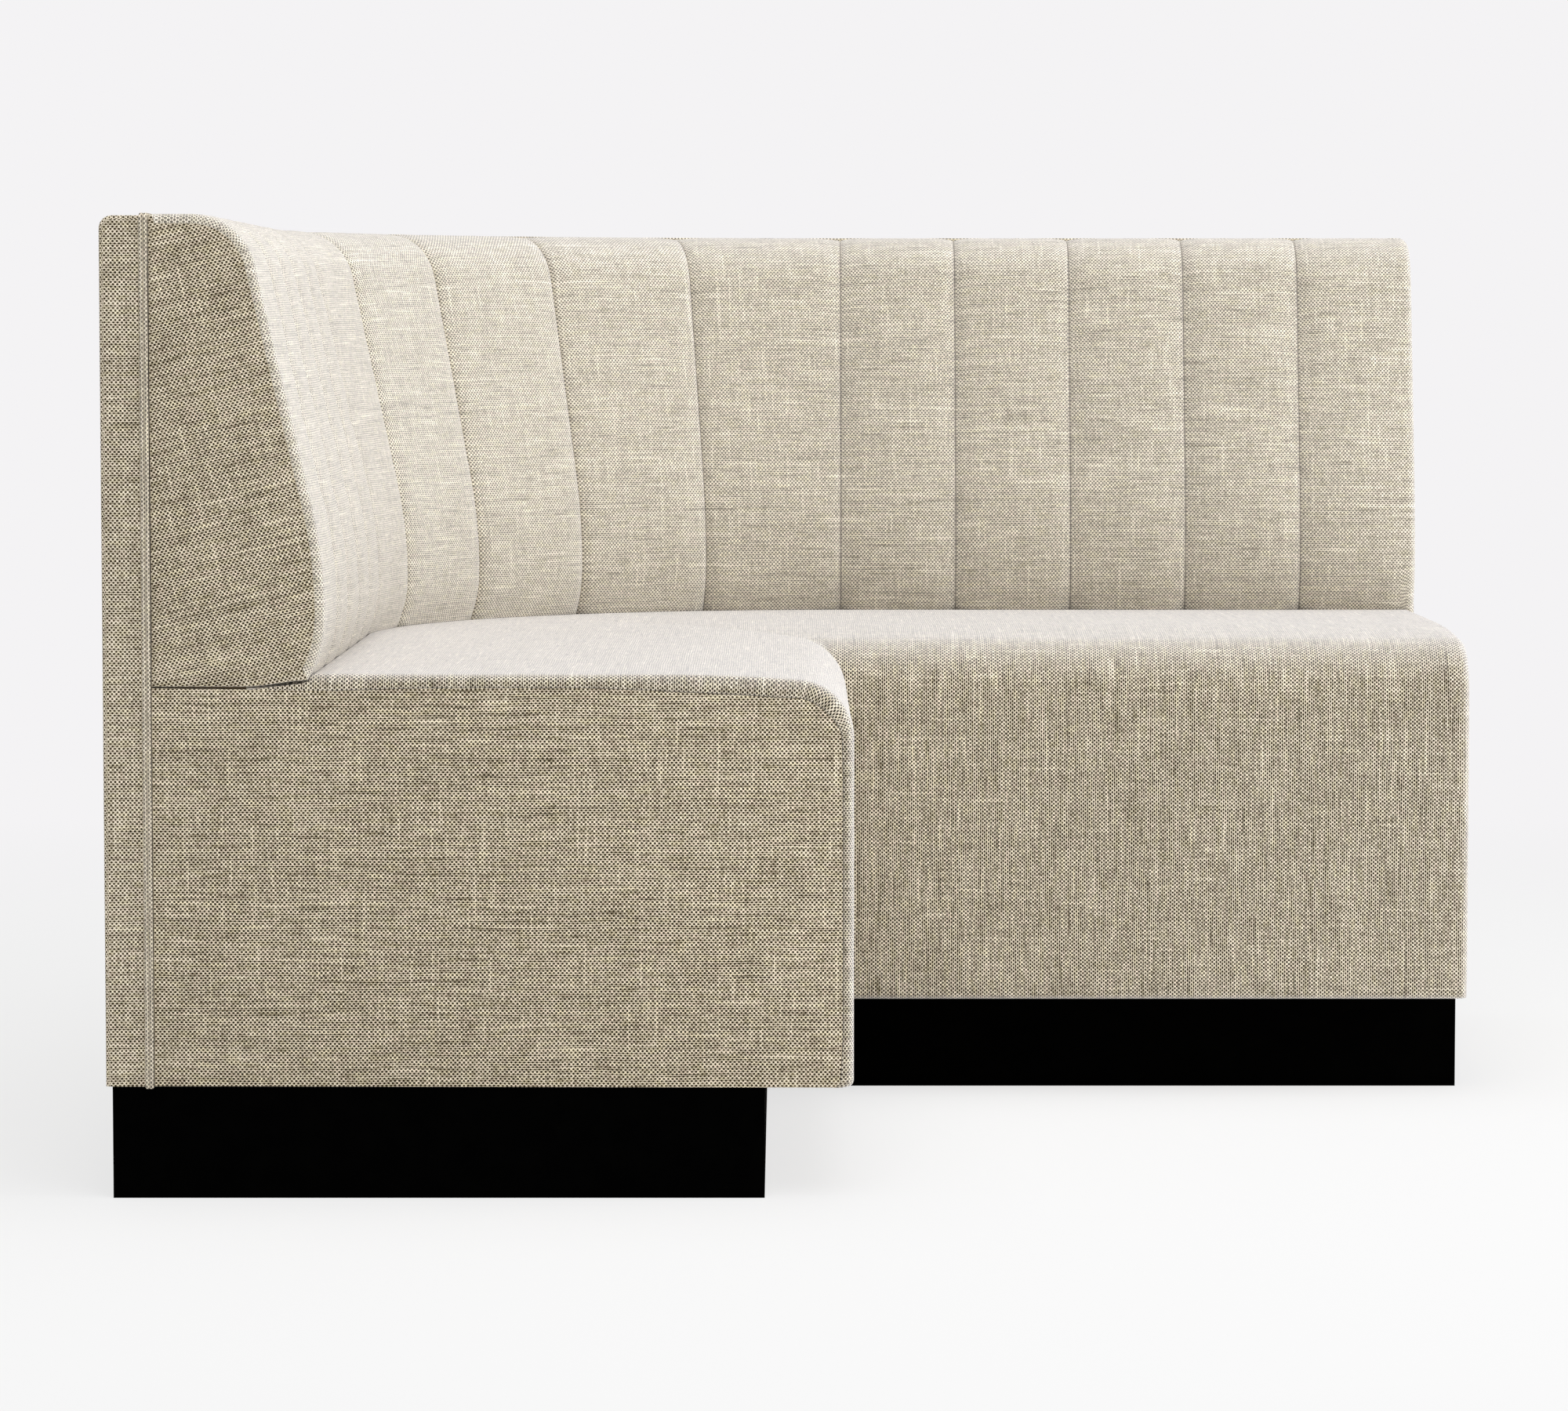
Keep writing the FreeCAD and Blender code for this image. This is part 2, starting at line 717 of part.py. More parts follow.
wing_liner = side_plate("wing_liner", [
    ("liner_foot_depth", "pad_foot_height"),
    ("liner_foot_depth + liner_board", "pad_foot_height"),
    ("rib_top_depth + liner_board", "rail_bottom"),
    ("rib_top_depth", "rail_bottom"),
], "end_inside", "end_inside")
liner_section = closed_wire([
    (at.liner_foot_depth, at.pad_foot_height),
    (at.liner_foot_depth + at.liner_board, at.pad_foot_height),
    (at.rib_top_depth + at.liner_board, at.rail_bottom),
    (at.rib_top_depth, at.rail_bottom),
], {}, wing_spot(0))
keep(group("back_liner", [
    pair("wing_liners", wing_liner),
    shaped("corner_liner", Part.Face(liner_section).revolve(corner_point, up, 90)),
]))

cover_z = (at.plinth_height, at.strip_top)
cover_room_z = (at.plinth_height - at.cut_overrun, at.rail_top)


def rolled_top(solid):
    """Rounds the edge between the outer face and the top."""
    top = at.strip_top - at.soft_gap
    edges = []
    for edge in solid.Edges:
        middle = edge.valueAt((edge.FirstParameter + edge.LastParameter) / 2) - corner_point
        across = middle.y if middle.x > 0 else math.hypot(middle.x, middle.y)
        if middle.z > top and across > at.wing_depth - at.soft_gap:
            edges.append(edge)
    return solid.makeFillet(at.strip_roll, edges)


def outside_cover_wing():
    """The outside back's cover on a wing: it wraps the boards, their end and their top."""
    outside = rolled_top(block((0, at.straight_run), (0, at.wrap_depth), cover_z))
    room_o = (at.outside_skin, at.wrap_depth + at.cut_overrun)
    return one_solid(outside.cut(block((-at.cut_overrun, at.end_inside), room_o, cover_room_z)))


def outside_cover_corner():
    """The same cover round the corner."""
    outside = rolled_top(corner_disc(0, cover_z))
    inside_z = (cover_room_z[0], at.strip_top + at.cut_overrun)
    return one_solid(outside.cut(corner_disc(at.outside_skin, cover_room_z)).cut(
        corner_disc(at.wrap_depth, inside_z)
    ))


both_wings("outside_back_cover", shaped("wing_outside_cover", outside_cover_wing()))
keep(shaped("outside_back_cover_corner", outside_cover_corner()))


def back_front(sink, dip, foot):
    """The front of the back in section, from its top down to foot, as points and arc middles.

    A rolled top, a reclined flat, a bulge above the seat and a foot that tucks in behind it.
    sink draws the whole face in and dip lowers its top.
    """
    lean = math.radians(at.recline)
    reach = at.back_reach - sink
    top = at.back_height - dip
    bulge_centre = (reach - at.bulge_radius, at.bulge_height)
    flat_foot = on_circle(bulge_centre, at.bulge_radius, at.recline)
    flat_top_z = top - at.top_roll + at.top_roll * math.sin(lean)
    flat_top = (flat_foot[0] - (flat_top_z - flat_foot[1]) * math.tan(lean), flat_top_z)
    roll_centre = (flat_top[0] - at.top_roll * math.cos(lean), top - at.top_roll)
    foot_centre = (reach - at.foot_radius, at.bulge_height)
    foot_angle = -math.degrees(math.asin((at.bulge_height - foot) / at.foot_radius))
    points = [
        (roll_centre[0], top),
        flat_top,
        flat_foot,
        (reach, at.bulge_height),
        on_circle(foot_centre, at.foot_radius, foot_angle),
    ]
    arcs = {
        0: on_circle(roll_centre, at.top_roll, (90 + at.recline) / 2),
        2: on_circle(bulge_centre, at.bulge_radius, at.recline / 2),
        3: on_circle(foot_centre, at.foot_radius, foot_angle / 2),
    }
    return points, arcs


def channel_section(share, spot):
    """A channel's section where its face has sunk by a share of the seam's sink."""
    points, arcs = back_front(share * at.channel_sink, share * at.channel_dip, at.pad_foot_height)
    top = points[0][1]
    behind = at.liner_board + at.soft_gap
    points = points + [
        (at.liner_foot_depth + behind, at.pad_foot_height),
        (at.rib_top_depth + behind, at.rail_bottom),
        (at.wrap_depth + at.soft_gap, at.rail_bottom),
        (at.wrap_depth + at.soft_gap, top),
    ]
    return closed_wire(points, arcs, spot)


channel_width = at.straight_run / at.channels_per_wing
channel_turn = 90 / at.channels_in_corner
wing_channels = []
for k in range(int(at.channels_per_wing)):
    is_last = k + 1 == int(at.channels_per_wing)
    shares = end_crown_shares if is_last else crown_shares
    sections = [channel_section(sunk, wing_spot(channel_width * (k + along))) for along, sunk in shares]
    if is_last:
        sections.append(channel_section(at.end_sink / at.channel_sink, wing_spot(at.end_inside)))
    wing_channels.append(Part.makeLoft(sections, True, False))
corner_channels = []
for k in range(int(at.channels_in_corner)):
    sections = [channel_section(sunk, corner_spot(channel_turn * (k + along))) for along, sunk in crown_shares]
    corner_channels.append(Part.makeLoft(sections, True, False))

# Channels are numbered from the left wing's end, round the corner, to the right wing's end.
wing_features = []
for k, shape in enumerate(wing_channels):
    number = int(at.channels_per_wing) + int(at.channels_in_corner) + k + 1
    wing_features.append(keep(shaped(f"back_channel_{number:02d}", shape)))
for k, shape in enumerate(corner_channels):
    number = int(at.channels_per_wing) + int(at.channels_in_corner) - k
    keep(shaped(f"back_channel_{number:02d}", shape))
for k, feature in enumerate(wing_features):
    number = int(at.channels_per_wing) - k
    keep(mirrored(f"back_channel_{number:02d}", feature))


def back_end_panel():
    """The padded panel on the back's end, its front and top edges rounded."""
    points, arcs = back_front(at.end_sink, 0, at.panel_top)
    points = points + [(at.wrap_depth, at.panel_top), (at.wrap_depth, points[0][1])]
    face = Part.Face(closed_wire(points, arcs, wing_spot(at.end_inside)))
    rear_y = at.half_span - at.wrap_depth
    return rounded_end(
        face.extrude(Vector(at.end_pad, 0, 0)),
        lambda box: box.ZMax < at.panel_top + at.soft_gap or box.YMin > rear_y - at.soft_gap,
    )


both_wings("back_end_panel", shaped("wing_back_end", back_end_panel()))


def double_welt():
    """Two cords on a tape, over the joint of the outside cover, up each end and all along the top."""
    centre_o = at.strip_width + at.welt_cord
    cord = at.welt_cord
    points = [(-cord, 0), (cord, 0), (cord, at.welt_tape), (0, at.welt_tape), (-cord, at.welt_tape)]
    crest = at.welt_tape + cord / 2
    arcs = {2: (cord / 2, crest), 3: (-cord / 2, crest)}
    low = at.plinth_height - at.welt_drop

    def on_end(across, height):
        return wing_spot(at.straight_run + height)(centre_o + across, low)

    def at_edge(across, height):
        return wing_spot(at.straight_run + height)(centre_o + across, at.strip_top)

    def on_top(across, height):
        return wing_spot(0)(centre_o + across, at.strip_top + height)

    upright = Part.Face(closed_wire(points, arcs, on_end)).extrude(up * (at.strip_top - low))
    edge = Part.Face(closed_wire(points, arcs, at_edge)).revolve(
        wing_spot(at.straight_run)(0, at.strip_top), Vector(0, -1, 0), 90
    )
    along = Part.Face(closed_wire(points, arcs, on_top)).extrude(Vector(at.straight_run, 0, 0))
    corner = Part.Face(closed_wire(points, arcs, on_top)).revolve(corner_point, up, 90)
    right = [upright, edge, along]
    left = [to_left(piece) for piece in right]
    return one_solid(corner.fuse(right + left))


keep(shaped("double_welt", double_welt()))

doc.recompute()

faults = []
for thing in doc.Objects:
    if "Invalid" in thing.State or "Error" in thing.State:
        faults.append(f"{thing.Label}: {thing.State}")
for thing in sub_parts:
    if thing.Shape.isNull() or not thing.Shape.isValid():
        faults.append(f"{thing.Label}: bad shape")
if faults:
    raise RuntimeError("; ".join(faults))

os.makedirs("parts", exist_ok=True)
for thing in sub_parts:
    shape = thing.Shape
    shape.exportStep(os.path.join("parts", thing.Label + ".step"))
    print(f"{thing.Label}: {len(shape.Solids)} solids, {shape.Volume / 1000:.1f} cm3")
print(len(sub_parts), "sub-parts written")
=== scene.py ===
import json
import math

import bmesh
import bpy
from mathutils import Matrix, Vector, noise


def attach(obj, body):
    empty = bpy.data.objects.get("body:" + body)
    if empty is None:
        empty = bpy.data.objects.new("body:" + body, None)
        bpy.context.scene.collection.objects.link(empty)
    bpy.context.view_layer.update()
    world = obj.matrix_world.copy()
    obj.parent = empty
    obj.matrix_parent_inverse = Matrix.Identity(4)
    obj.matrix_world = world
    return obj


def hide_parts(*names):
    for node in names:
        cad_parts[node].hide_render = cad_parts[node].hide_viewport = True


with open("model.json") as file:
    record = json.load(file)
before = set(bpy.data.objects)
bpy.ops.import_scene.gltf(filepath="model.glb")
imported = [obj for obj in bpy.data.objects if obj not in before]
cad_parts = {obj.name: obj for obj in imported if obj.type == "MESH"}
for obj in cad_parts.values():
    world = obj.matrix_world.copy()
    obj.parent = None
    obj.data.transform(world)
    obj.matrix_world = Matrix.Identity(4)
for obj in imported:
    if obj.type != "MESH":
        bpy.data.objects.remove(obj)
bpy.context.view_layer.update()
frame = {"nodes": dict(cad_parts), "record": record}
nodes = frame["nodes"]
print("frame loaded:", len(nodes), "nodes")

# Sizes that several pieces share, in metres. t runs along a wing from the inner corner,
# o from the outer face of the back towards the front, turn round the corner in radians.
bench = {
    "wingDepth": 0.696,
    "run": 0.656,
    "endInside": 0.644,
    "corner": 0.01875,
    "halfSpan": 0.67725,
    "plinthTop": 0.105,
    "seatTop": 0.489,
    "backTop": 0.914,
    "stripTop": 0.9125,
    "wrapDepth": 0.045,
    "gap": 0.0003,
    "same": 1e-6,
    "join": 1e-5,
}


def wingPoint(t, o, z):
    return Vector((bench["corner"] + t, bench["halfSpan"] - o, z))


def arcPoint(turn, o, z):
    reach = bench["wingDepth"] - o
    return Vector((bench["corner"] - reach * math.sin(turn), reach * math.cos(turn) - bench["corner"], z))


def onCircle(centre, radius, angle):
    return (centre[0] + radius * math.cos(angle), centre[1] + radius * math.sin(angle))


def arcRun(centre, radius, start, finish, steps):
    return [onCircle(centre, radius, start + (finish - start) * k / steps) for k in range(1, steps + 1)]


def lineRun(start, finish, steps):
    return [tuple(a + (b - a) * k / steps for a, b in zip(start, finish)) for k in range(1, steps + 1)]


def runLengths(points):
    lengths = [0.0]
    for a, b in zip(points, points[1:]):
        lengths.append(lengths[-1] + math.dist(a, b))
    return lengths


def insetRing(ring, amounts):
    # moves each point of a closed clockwise ring inwards by its own amount
    moved = []
    for k, (x, z) in enumerate(ring):
        before, after = ring[k - 1], ring[(k + 1) % len(ring)]
        along = Vector((after[0] - before[0], after[1] - before[1])).normalized()
        moved.append((x + along.y * amounts[k], z - along.x * amounts[k]))
    return moved


def weaveLayer(bm):
    return bm.loops.layers.uv.get("weave") or bm.loops.layers.uv.new("weave")


def gridForm(columns, rows, place, flat, loose=None):
    # a grid of columns and rows put where place says, with the cloth laid on it as flat says;
    # loose says which of it the cloth simulation may move
    bm = bmesh.new()
    weave = weaveLayer(bm)
    hold = bm.verts.layers.deform.verify()
    bmesh.ops.create_grid(bm, x_segments=columns, y_segments=rows, size=0.5)
    steps = {}
    for vert in bm.verts:
        steps[vert] = (round((vert.co.x + 0.5) * columns), round((vert.co.y + 0.5) * rows))
    for face in bm.faces:
        for loop in face.loops:
            loop[weave].uv = flat(*steps[loop.vert])
    for vert, (column, row) in steps.items():
        vert.co = place(column, row)
        if loose:
            vert[hold][0] = 0.0 if loose(column, row) else 1.0
    bmesh.ops.remove_doubles(bm, verts=bm.verts, dist=bench["same"])
    bmesh.ops.dissolve_degenerate(bm, dist=bench["same"], edges=bm.edges)
    return bm


def capEnds(bm):
    edges = [edge for edge in bm.edges if edge.is_boundary]
    bmesh.ops.holes_fill(bm, edges=edges, sides=0)


def boxWeave(bm, faces, turn=0.0, origin=(0, 0, 0)):
    # lays the weave flat on each face, seen from the axis it faces most
    weave = weaveLayer(bm)
    spin = Matrix.Rotation(turn, 2)
    for face in faces:
        facing = max(range(3), key=lambda k: abs(face.normal[k]))
        for loop in face.loops:
            spot = loop.vert.co - Vector(origin)
            across = (spot.y, spot.x, spot.x)[facing]
            upward = (spot.z, spot.z, spot.y)[facing]
            loop[weave].uv = spin @ Vector((across, upward))


def toLeft(bm):
    # reflects a right-wing form in the plane through the inner corner
    bm.transform(Matrix(((0, -1, 0, 0), (-1, 0, 0, 0), (0, 0, 1, 0), (0, 0, 0, 1))))
    bmesh.ops.reverse_faces(bm, faces=bm.faces)


def cutAtDiagonal(bm):
    # keeps what is on the right wing's side of the upright plane through the inner corner
    spot = (bench["corner"], -bench["corner"], 0)
    geometry = bm.verts[:] + bm.edges[:] + bm.faces[:]
    bmesh.ops.bisect_plane(bm, geom=geometry, dist=bench["same"], plane_co=spot, plane_no=(-1, -1, 0),
                           clear_outer=True)


def addLeftHalf(bm, swapCloth=False):
    # adds the mirror image in that plane and joins the two
    geometry = bm.verts[:] + bm.edges[:] + bm.faces[:]
    copied = bmesh.ops.duplicate(bm, geom=geometry)["geom"]
    faces = [item for item in copied if isinstance(item, bmesh.types.BMFace)]
    verts = [item for item in copied if isinstance(item, bmesh.types.BMVert)]
    for vert in verts:
        vert.co = Vector((-vert.co.y, -vert.co.x, vert.co.z))
    bmesh.ops.reverse_faces(bm, faces=faces)
    if swapCloth:
        weave = weaveLayer(bm)
        for face in faces:
            for loop in face.loops:
                across, along = loop[weave].uv
                loop[weave].uv = (-along, -across)
    bmesh.ops.remove_doubles(bm, verts=bm.verts, dist=bench["join"])


def finishPiece(bm, name, material, creaseAngle=60):
    bmesh.ops.recalc_face_normals(bm, faces=bm.faces)
    mesh = bpy.data.meshes.new(name)
    bm.to_mesh(mesh)
    bm.free()
    mesh.materials.append(material)
    mesh.shade_smooth()
    mesh.set_sharp_from_angle(angle=math.radians(creaseAngle))
    piece = bpy.data.objects.new(name, mesh)
    bpy.context.scene.collection.objects.link(piece)
    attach(piece, "root")
    return piece


def smooth(share):
    share = min(max(share, 0.0), 1.0)
    return share * share * (3 - 2 * share)


# Cloth simulation of the padded pieces: pressure from within pushes the cover out between its seams
puff = {
    "pressure": 4.0,
    "frames": 20,
    "quality": 5,
    "mass": 0.35,
    "stiffness": 25.0,
    "bending": 0.6,
    "slack": -0.012,
    "most": 0.0022,
}
puffed = []


def puffCovers():
    for piece in puffed:
        piece.vertex_groups.new(name="held")
        modifier = piece.modifiers.new("puff", "CLOTH")
        settings = modifier.settings
        settings.quality = puff["quality"]
        settings.mass = puff["mass"]
        settings.tension_stiffness = settings.compression_stiffness = puff["stiffness"]
        settings.shear_stiffness = puff["stiffness"]
        settings.bending_stiffness = puff["bending"]
        settings.use_pressure = True
        settings.uniform_pressure_force = puff["pressure"]
        settings.vertex_group_mass = "held"
        settings.shrink_min = puff["slack"]
        settings.effector_weights.gravity = 0.0
        modifier.point_cache.frame_start = 1
        modifier.point_cache.frame_end = puff["frames"]
    for number in range(1, puff["frames"] + 1):
        bpy.context.scene.frame_set(number)
    graph = bpy.context.evaluated_depsgraph_get()
    for piece in puffed:
        moved = [vert.co.copy() for vert in piece.evaluated_get(graph).data.vertices]
        piece.modifiers.clear()
        shifts = [spot - vert.co for vert, spot in zip(piece.data.vertices, moved)]
        share = min(1.0, puff["most"] / max(shift.length for shift in shifts))
        for vert, shift in zip(piece.data.vertices, shifts):
            vert.co += shift * share
        piece.vertex_groups.clear()
    bpy.context.scene.frame_set(1)


def softNoise(point, scale, amount, seed):
    return noise.noise(point * scale + Vector((seed, 1.7 * seed, -seed))) * amount


# Materials

class NodeSheet:
    # a short way to wire maths in a material's node tree
    def __init__(self, name):
        self.material = bpy.data.materials.new(name)
        self.material.use_nodes = True
        self.tree = self.material.node_tree
        self.shader = self.tree.nodes["Principled BSDF"]

    def add(self, kind, inputs=None, **settings):
        node = self.tree.nodes.new(kind)
        for key, value in settings.items():
            setattr(node, key, value)
        for key, value in (inputs or {}).items():
            self.feed(node.inputs[key], value)
        return node

    def feed(self, socket, value):
        if isinstance(value, bpy.types.NodeSocket):
            self.tree.links.new(value, socket)
        else:
            socket.default_value = value

    def maths(self, operation, first, second=0.0, third=0.0):
        values = {0: first, 1: second, 2: third}
        return self.add("ShaderNodeMath", values, operation=operation).outputs[0]

    def vector(self, x, y, z=0.0):
        return self.add("ShaderNodeCombineXYZ", {0: x, 1: y, 2: z}).outputs[0]

    def noise(self, vector, scale, detail=1.0):
        node = self.add("ShaderNodeTexNoise", {"Vector": vector, "Scale": scale, "Detail": detail})
        return node.outputs["Fac"]

    def ramp(self, factor, stops):
        node = self.add("ShaderNodeValToRGB", {"Fac": factor})
        elements = node.color_ramp.elements
        while len(elements) < len(stops):
            elements.new(0.5)
        for element, (position, color) in zip(elements, stops):
            element.position = position
            element.color = (*color, 1)
        return node.outputs["Color"]

    def spread(self, value, low, high, toLow=0.0, toHigh=1.0):
        inputs = {"Value": value, "From Min": low, "From Max": high, "To Min": toLow, "To Max": toHigh}
        return self.add("ShaderNodeMapRange", inputs).outputs[0]

    def mix(self, factor, first, second, blend="MIX"):
        node = self.add("ShaderNodeMix", data_type="RGBA", blend_type=blend)
        self.feed(node.inputs[0], factor)
        self.feed(node.inputs[6], first)
        self.feed(node.inputs[7], second)
        return node.outputs[2]

    def bump(self, height, strength, distance):
        node = self.add("ShaderNodeBump", {"Height": height, "Strength": strength, "Distance": distance})
        self.feed(self.shader.inputs["Normal"], node.outputs[0])


weaveLook = {
    "yarnPitch": 0.0020,
    "rowPitch": 0.0022,
    "wanderScale": 12.0,
    "yarnStep": 7.31,
    "usualRange": (0.28, 0.72),
    "rareRange": (0.60, 0.76),
    "middle": 0.613,
    "lowest": 0.13,
    "warm": (0.0, -0.040, -0.120),
    "drift": (0.6, 1.1),
    "rowGap": 0.17,
    "hole": 0.38,
    "columnGap": 0.07,
    "rowDepth": (16.0, 3.0, 0.9),
    "columnDepth": (16.0, 5.0, 0.9),
    "holeDepth": (45.0, 9.0, 0.22),
    "slubs": ((6.0, 44.0, 0.055), (30.0, 8.0, 0.045), (110.0, 13.0, 0.04)),
    "rareRows": ((14.0, 21.0, 0.20), (18.0, 61.0, -0.16)),
    "rareColumns": ((16.0, 71.0, 0.15),),
    "columnSlubs": (30.0, 31.0, 0.05),
    "cells": 0.07,
    "grain": 0.12,
    "strands": (2.0, 3.0),
    "randomSlice": 0.5,
    "gamma": 2.2,
    "blotch": (60.0, 140.0),
    "blotchTints": [(0.32, (0.99, 0.96, 0.97)), (0.5, (1.0, 1.0, 1.0)), (0.68, (1.01, 1.01, 0.94))],
    "bump": 0.0002,
    "bumpStrength": 0.6,
    # the next two are colours of painted sheen: the one that grows at flat views, and the one laid evenly
    "paintedSheen": (0.895, 0.885, 0.935),
    "paintedSheenColor": (0.79, 0.755, 0.68),
    "sheen": 0.15,
    "sheenRoughness": 0.5,
    "roughness": 0.95,
    "specular": 0.15,
}


def weaveMaterial(name, turned=False, paintedSheen=0.0, paintedGrazingSheen=0.0, paintedShade=0.0, paintedTint=0.0):
    # plain weave of slubby oatmeal yarn: rows of dark gaps, one at every second yarn, every other row offset
    look = weaveLook
    sheet = NodeSheet(name)
    laid = sheet.add("ShaderNodeUVMap", uv_map="weave").outputs[0]
    split = sheet.add("ShaderNodeSeparateXYZ", {0: laid})
    across, along = split.outputs[1 if turned else 0], split.outputs[0 if turned else 1]
    wander = sheet.maths("SUBTRACT", sheet.noise(laid, look["wanderScale"], 1.0), 0.5)
    u, v = [
        sheet.maths("MULTIPLY_ADD", wander, drift, sheet.maths("DIVIDE", place, pitch))
        for drift, place, pitch in zip(look["drift"], (across, along), (look["yarnPitch"], look["rowPitch"]))
    ]
    row = sheet.maths("FLOOR", v)
    column = sheet.maths("FLOOR", u)
    gapRow = sheet.maths("FLOOR", sheet.maths("ADD", v, 0.5))
    strand, strandRow = [
        sheet.maths("FLOOR", sheet.maths("MULTIPLY", place, count))
        for place, count in zip((u, v), look["strands"])
    ]

    def yarnTone(position, number, scale, seed, amount, rare=False):
        # slow change of tone along each yarn, or a strong one on a few short lengths
        spot = sheet.vector(sheet.maths("MULTIPLY", position, scale),
                            sheet.maths("MULTIPLY", number, look["yarnStep"]), seed)
        if rare:
            return sheet.spread(sheet.noise(spot, 1.0, 1.0), *look["rareRange"], 0.0, amount)
        return sheet.spread(sheet.noise(spot, 1.0, 1.0), *look["usualRange"], -amount, amount)

    def cellTone(across, down, amount):
        spot = sheet.vector(across, down, look["randomSlice"])
        random = sheet.add("ShaderNodeTexWhiteNoise", {"Vector": spot}, noise_dimensions="3D")
        return sheet.spread(random.outputs["Value"], 0.0, 1.0, -amount, amount)

    def wave(angle, amount):
        return sheet.maths("MULTIPLY", sheet.maths("COSINE", angle), amount)

    def depth(position, number, scale, seed, amount, whole):
        # how deep a gap is along its length, round its usual depth
        share = sheet.maths("ADD", yarnTone(position, number, scale, seed, amount), 1.0)
        return sheet.maths("MULTIPLY", share, whole)

    columnLine = sheet.maths("FLOOR", sheet.maths("ADD", u, 0.5))
    parts = [
        wave(sheet.maths("MULTIPLY", v, 2 * math.pi),
             depth(across, gapRow, *look["rowDepth"], -look["rowGap"])),
        wave(sheet.maths("MULTIPLY", sheet.maths("ADD", u, gapRow), math.pi),
             depth(across, gapRow, *look["holeDepth"], -look["hole"])),
        wave(sheet.maths("MULTIPLY", u, 2 * math.pi),
             depth(along, columnLine, *look["columnDepth"], -look["columnGap"])),
        yarnTone(along, column, *look["columnSlubs"]),
        cellTone(columnLine, gapRow, look["cells"]),
        cellTone(strand, strandRow, look["grain"]),
    ]
    parts += [yarnTone(across, row, *slub) for slub in look["slubs"]]
    parts += [yarnTone(across, row, *yarn, rare=True) for yarn in look["rareRows"]]
    parts += [yarnTone(along, column, *yarn, rare=True) for yarn in look["rareColumns"]]
    # painted shade: each piece's copy has its own tone offset, darker below zero, for how much light that
    # part gets
    tone = look["middle"] + paintedShade
    for part in parts:
        tone = sheet.maths("ADD", part, tone)
    tone = sheet.maths("MINIMUM", sheet.maths("MAXIMUM", tone, look["lowest"]), 1.0)
    # painted tint: each piece's copy takes its own share of the warm shift, for the colour that light gives
    # that part
    tints = [sheet.maths("ADD", tone, shift * (1 + paintedTint)) for shift in look["warm"]]
    tinted = sheet.add("ShaderNodeCombineColor", dict(enumerate(tints))).outputs[0]
    color = sheet.add("ShaderNodeGamma", {"Color": tinted, "Gamma": look["gamma"]}).outputs[0]
    patch = [sheet.maths("MULTIPLY", place, scale) for place, scale in zip((across, along), look["blotch"])]
    blotch = sheet.noise(sheet.vector(*patch), 1.0, 1.0)
    color = sheet.mix(1.0, color, sheet.ramp(blotch, look["blotchTints"]), "MULTIPLY")
    # painted sheen: the colour is mixed towards pale, by a fixed share and by more the flatter the cloth is
    # seen, for the whitening that light gives the cloth at flat views
    facing = sheet.add("ShaderNodeLayerWeight", {"Blend": 0.5}).outputs["Facing"]
    color = sheet.mix(paintedSheen, color, (*look["paintedSheenColor"], 1))
    color = sheet.mix(sheet.maths("MULTIPLY", facing, paintedGrazingSheen), color, (*look["paintedSheen"], 1))
    sheet.feed(sheet.shader.inputs["Base Color"], color)
    sheet.bump(tone, look["bumpStrength"], look["bump"])
    sheet.feed(sheet.shader.inputs["Roughness"], look["roughness"])
    sheet.feed(sheet.shader.inputs["Specular IOR Level"], look["specular"])
    sheet.feed(sheet.shader.inputs["Sheen Weight"], look["sheen"])
    sheet.feed(sheet.shader.inputs["Sheen Roughness"], look["sheenRoughness"])
    return sheet.material


# A range of four numbers gives a noise's low and high value, then what they are turned into.
plinthLook = {
    "mottleScale": 40.0,
    "colors": [(0.3, (0.0002, 0.0002, 0.0002)), (0.7, (0.0008, 0.0008, 0.0007))],
    "roughness": (0.3, 0.7, 0.75, 0.95),
    "specular": 0.01,
    "grainScale": 900.0,
    "bump": (0.2, 0.0002),
}
boardLook = {
    "bands": (0.30, 0.62),
    "poreScale": 9.0,
    "pores": (0.45, 0.75, 0.0, 0.35),
    "roughness": (0.2, 0.8, 0.55, 0.75),
    "bump": (0.3, 0.0003),
}
fillingLook = {"stops": (0.3, 0.65), "bump": (0.6, 0.0008)}
steelLook = {"wearScale": 120.0, "stops": (0.3, 0.7), "duller": 0.18}


def blackMaterial():
    # matt black plinth boards: faint mottling and a little scuffing
    look = plinthLook
    sheet = NodeSheet("plinthBlack")
    spot = sheet.add("ShaderNodeTexCoord").outputs["Object"]
    mottle = sheet.noise(spot, look["mottleScale"], 4.0)
    sheet.feed(sheet.shader.inputs["Base Color"], sheet.ramp(mottle, look["colors"]))
    sheet.feed(sheet.shader.inputs["Roughness"], sheet.spread(mottle, *look["roughness"]))
    sheet.feed(sheet.shader.inputs["Specular IOR Level"], look["specular"])
    sheet.bump(sheet.noise(spot, look["grainScale"], 2.0), *look["bump"])
    return sheet.material


def woodMaterial(name, pale, dark, stretch):
    # bare board: long grain, growth bands and pores
    look = boardLook
    sheet = NodeSheet(name)
    spot = sheet.add("ShaderNodeTexCoord").outputs["Object"]
    laid = sheet.add("ShaderNodeMapping", {"Vector": spot, "Scale": stretch}).outputs[0]
    bands = sheet.noise(laid, 1.0, 4.0)
    pores = sheet.noise(laid, look["poreScale"], 3.0)
    color = sheet.ramp(bands, list(zip(look["bands"], (dark, pale))))
    color = sheet.mix(sheet.spread(pores, *look["pores"]), color, (*dark, 1))
    sheet.feed(sheet.shader.inputs["Base Color"], color)
    sheet.feed(sheet.shader.inputs["Roughness"], sheet.spread(bands, *look["roughness"]))
    sheet.bump(pores, *look["bump"])
    return sheet.material


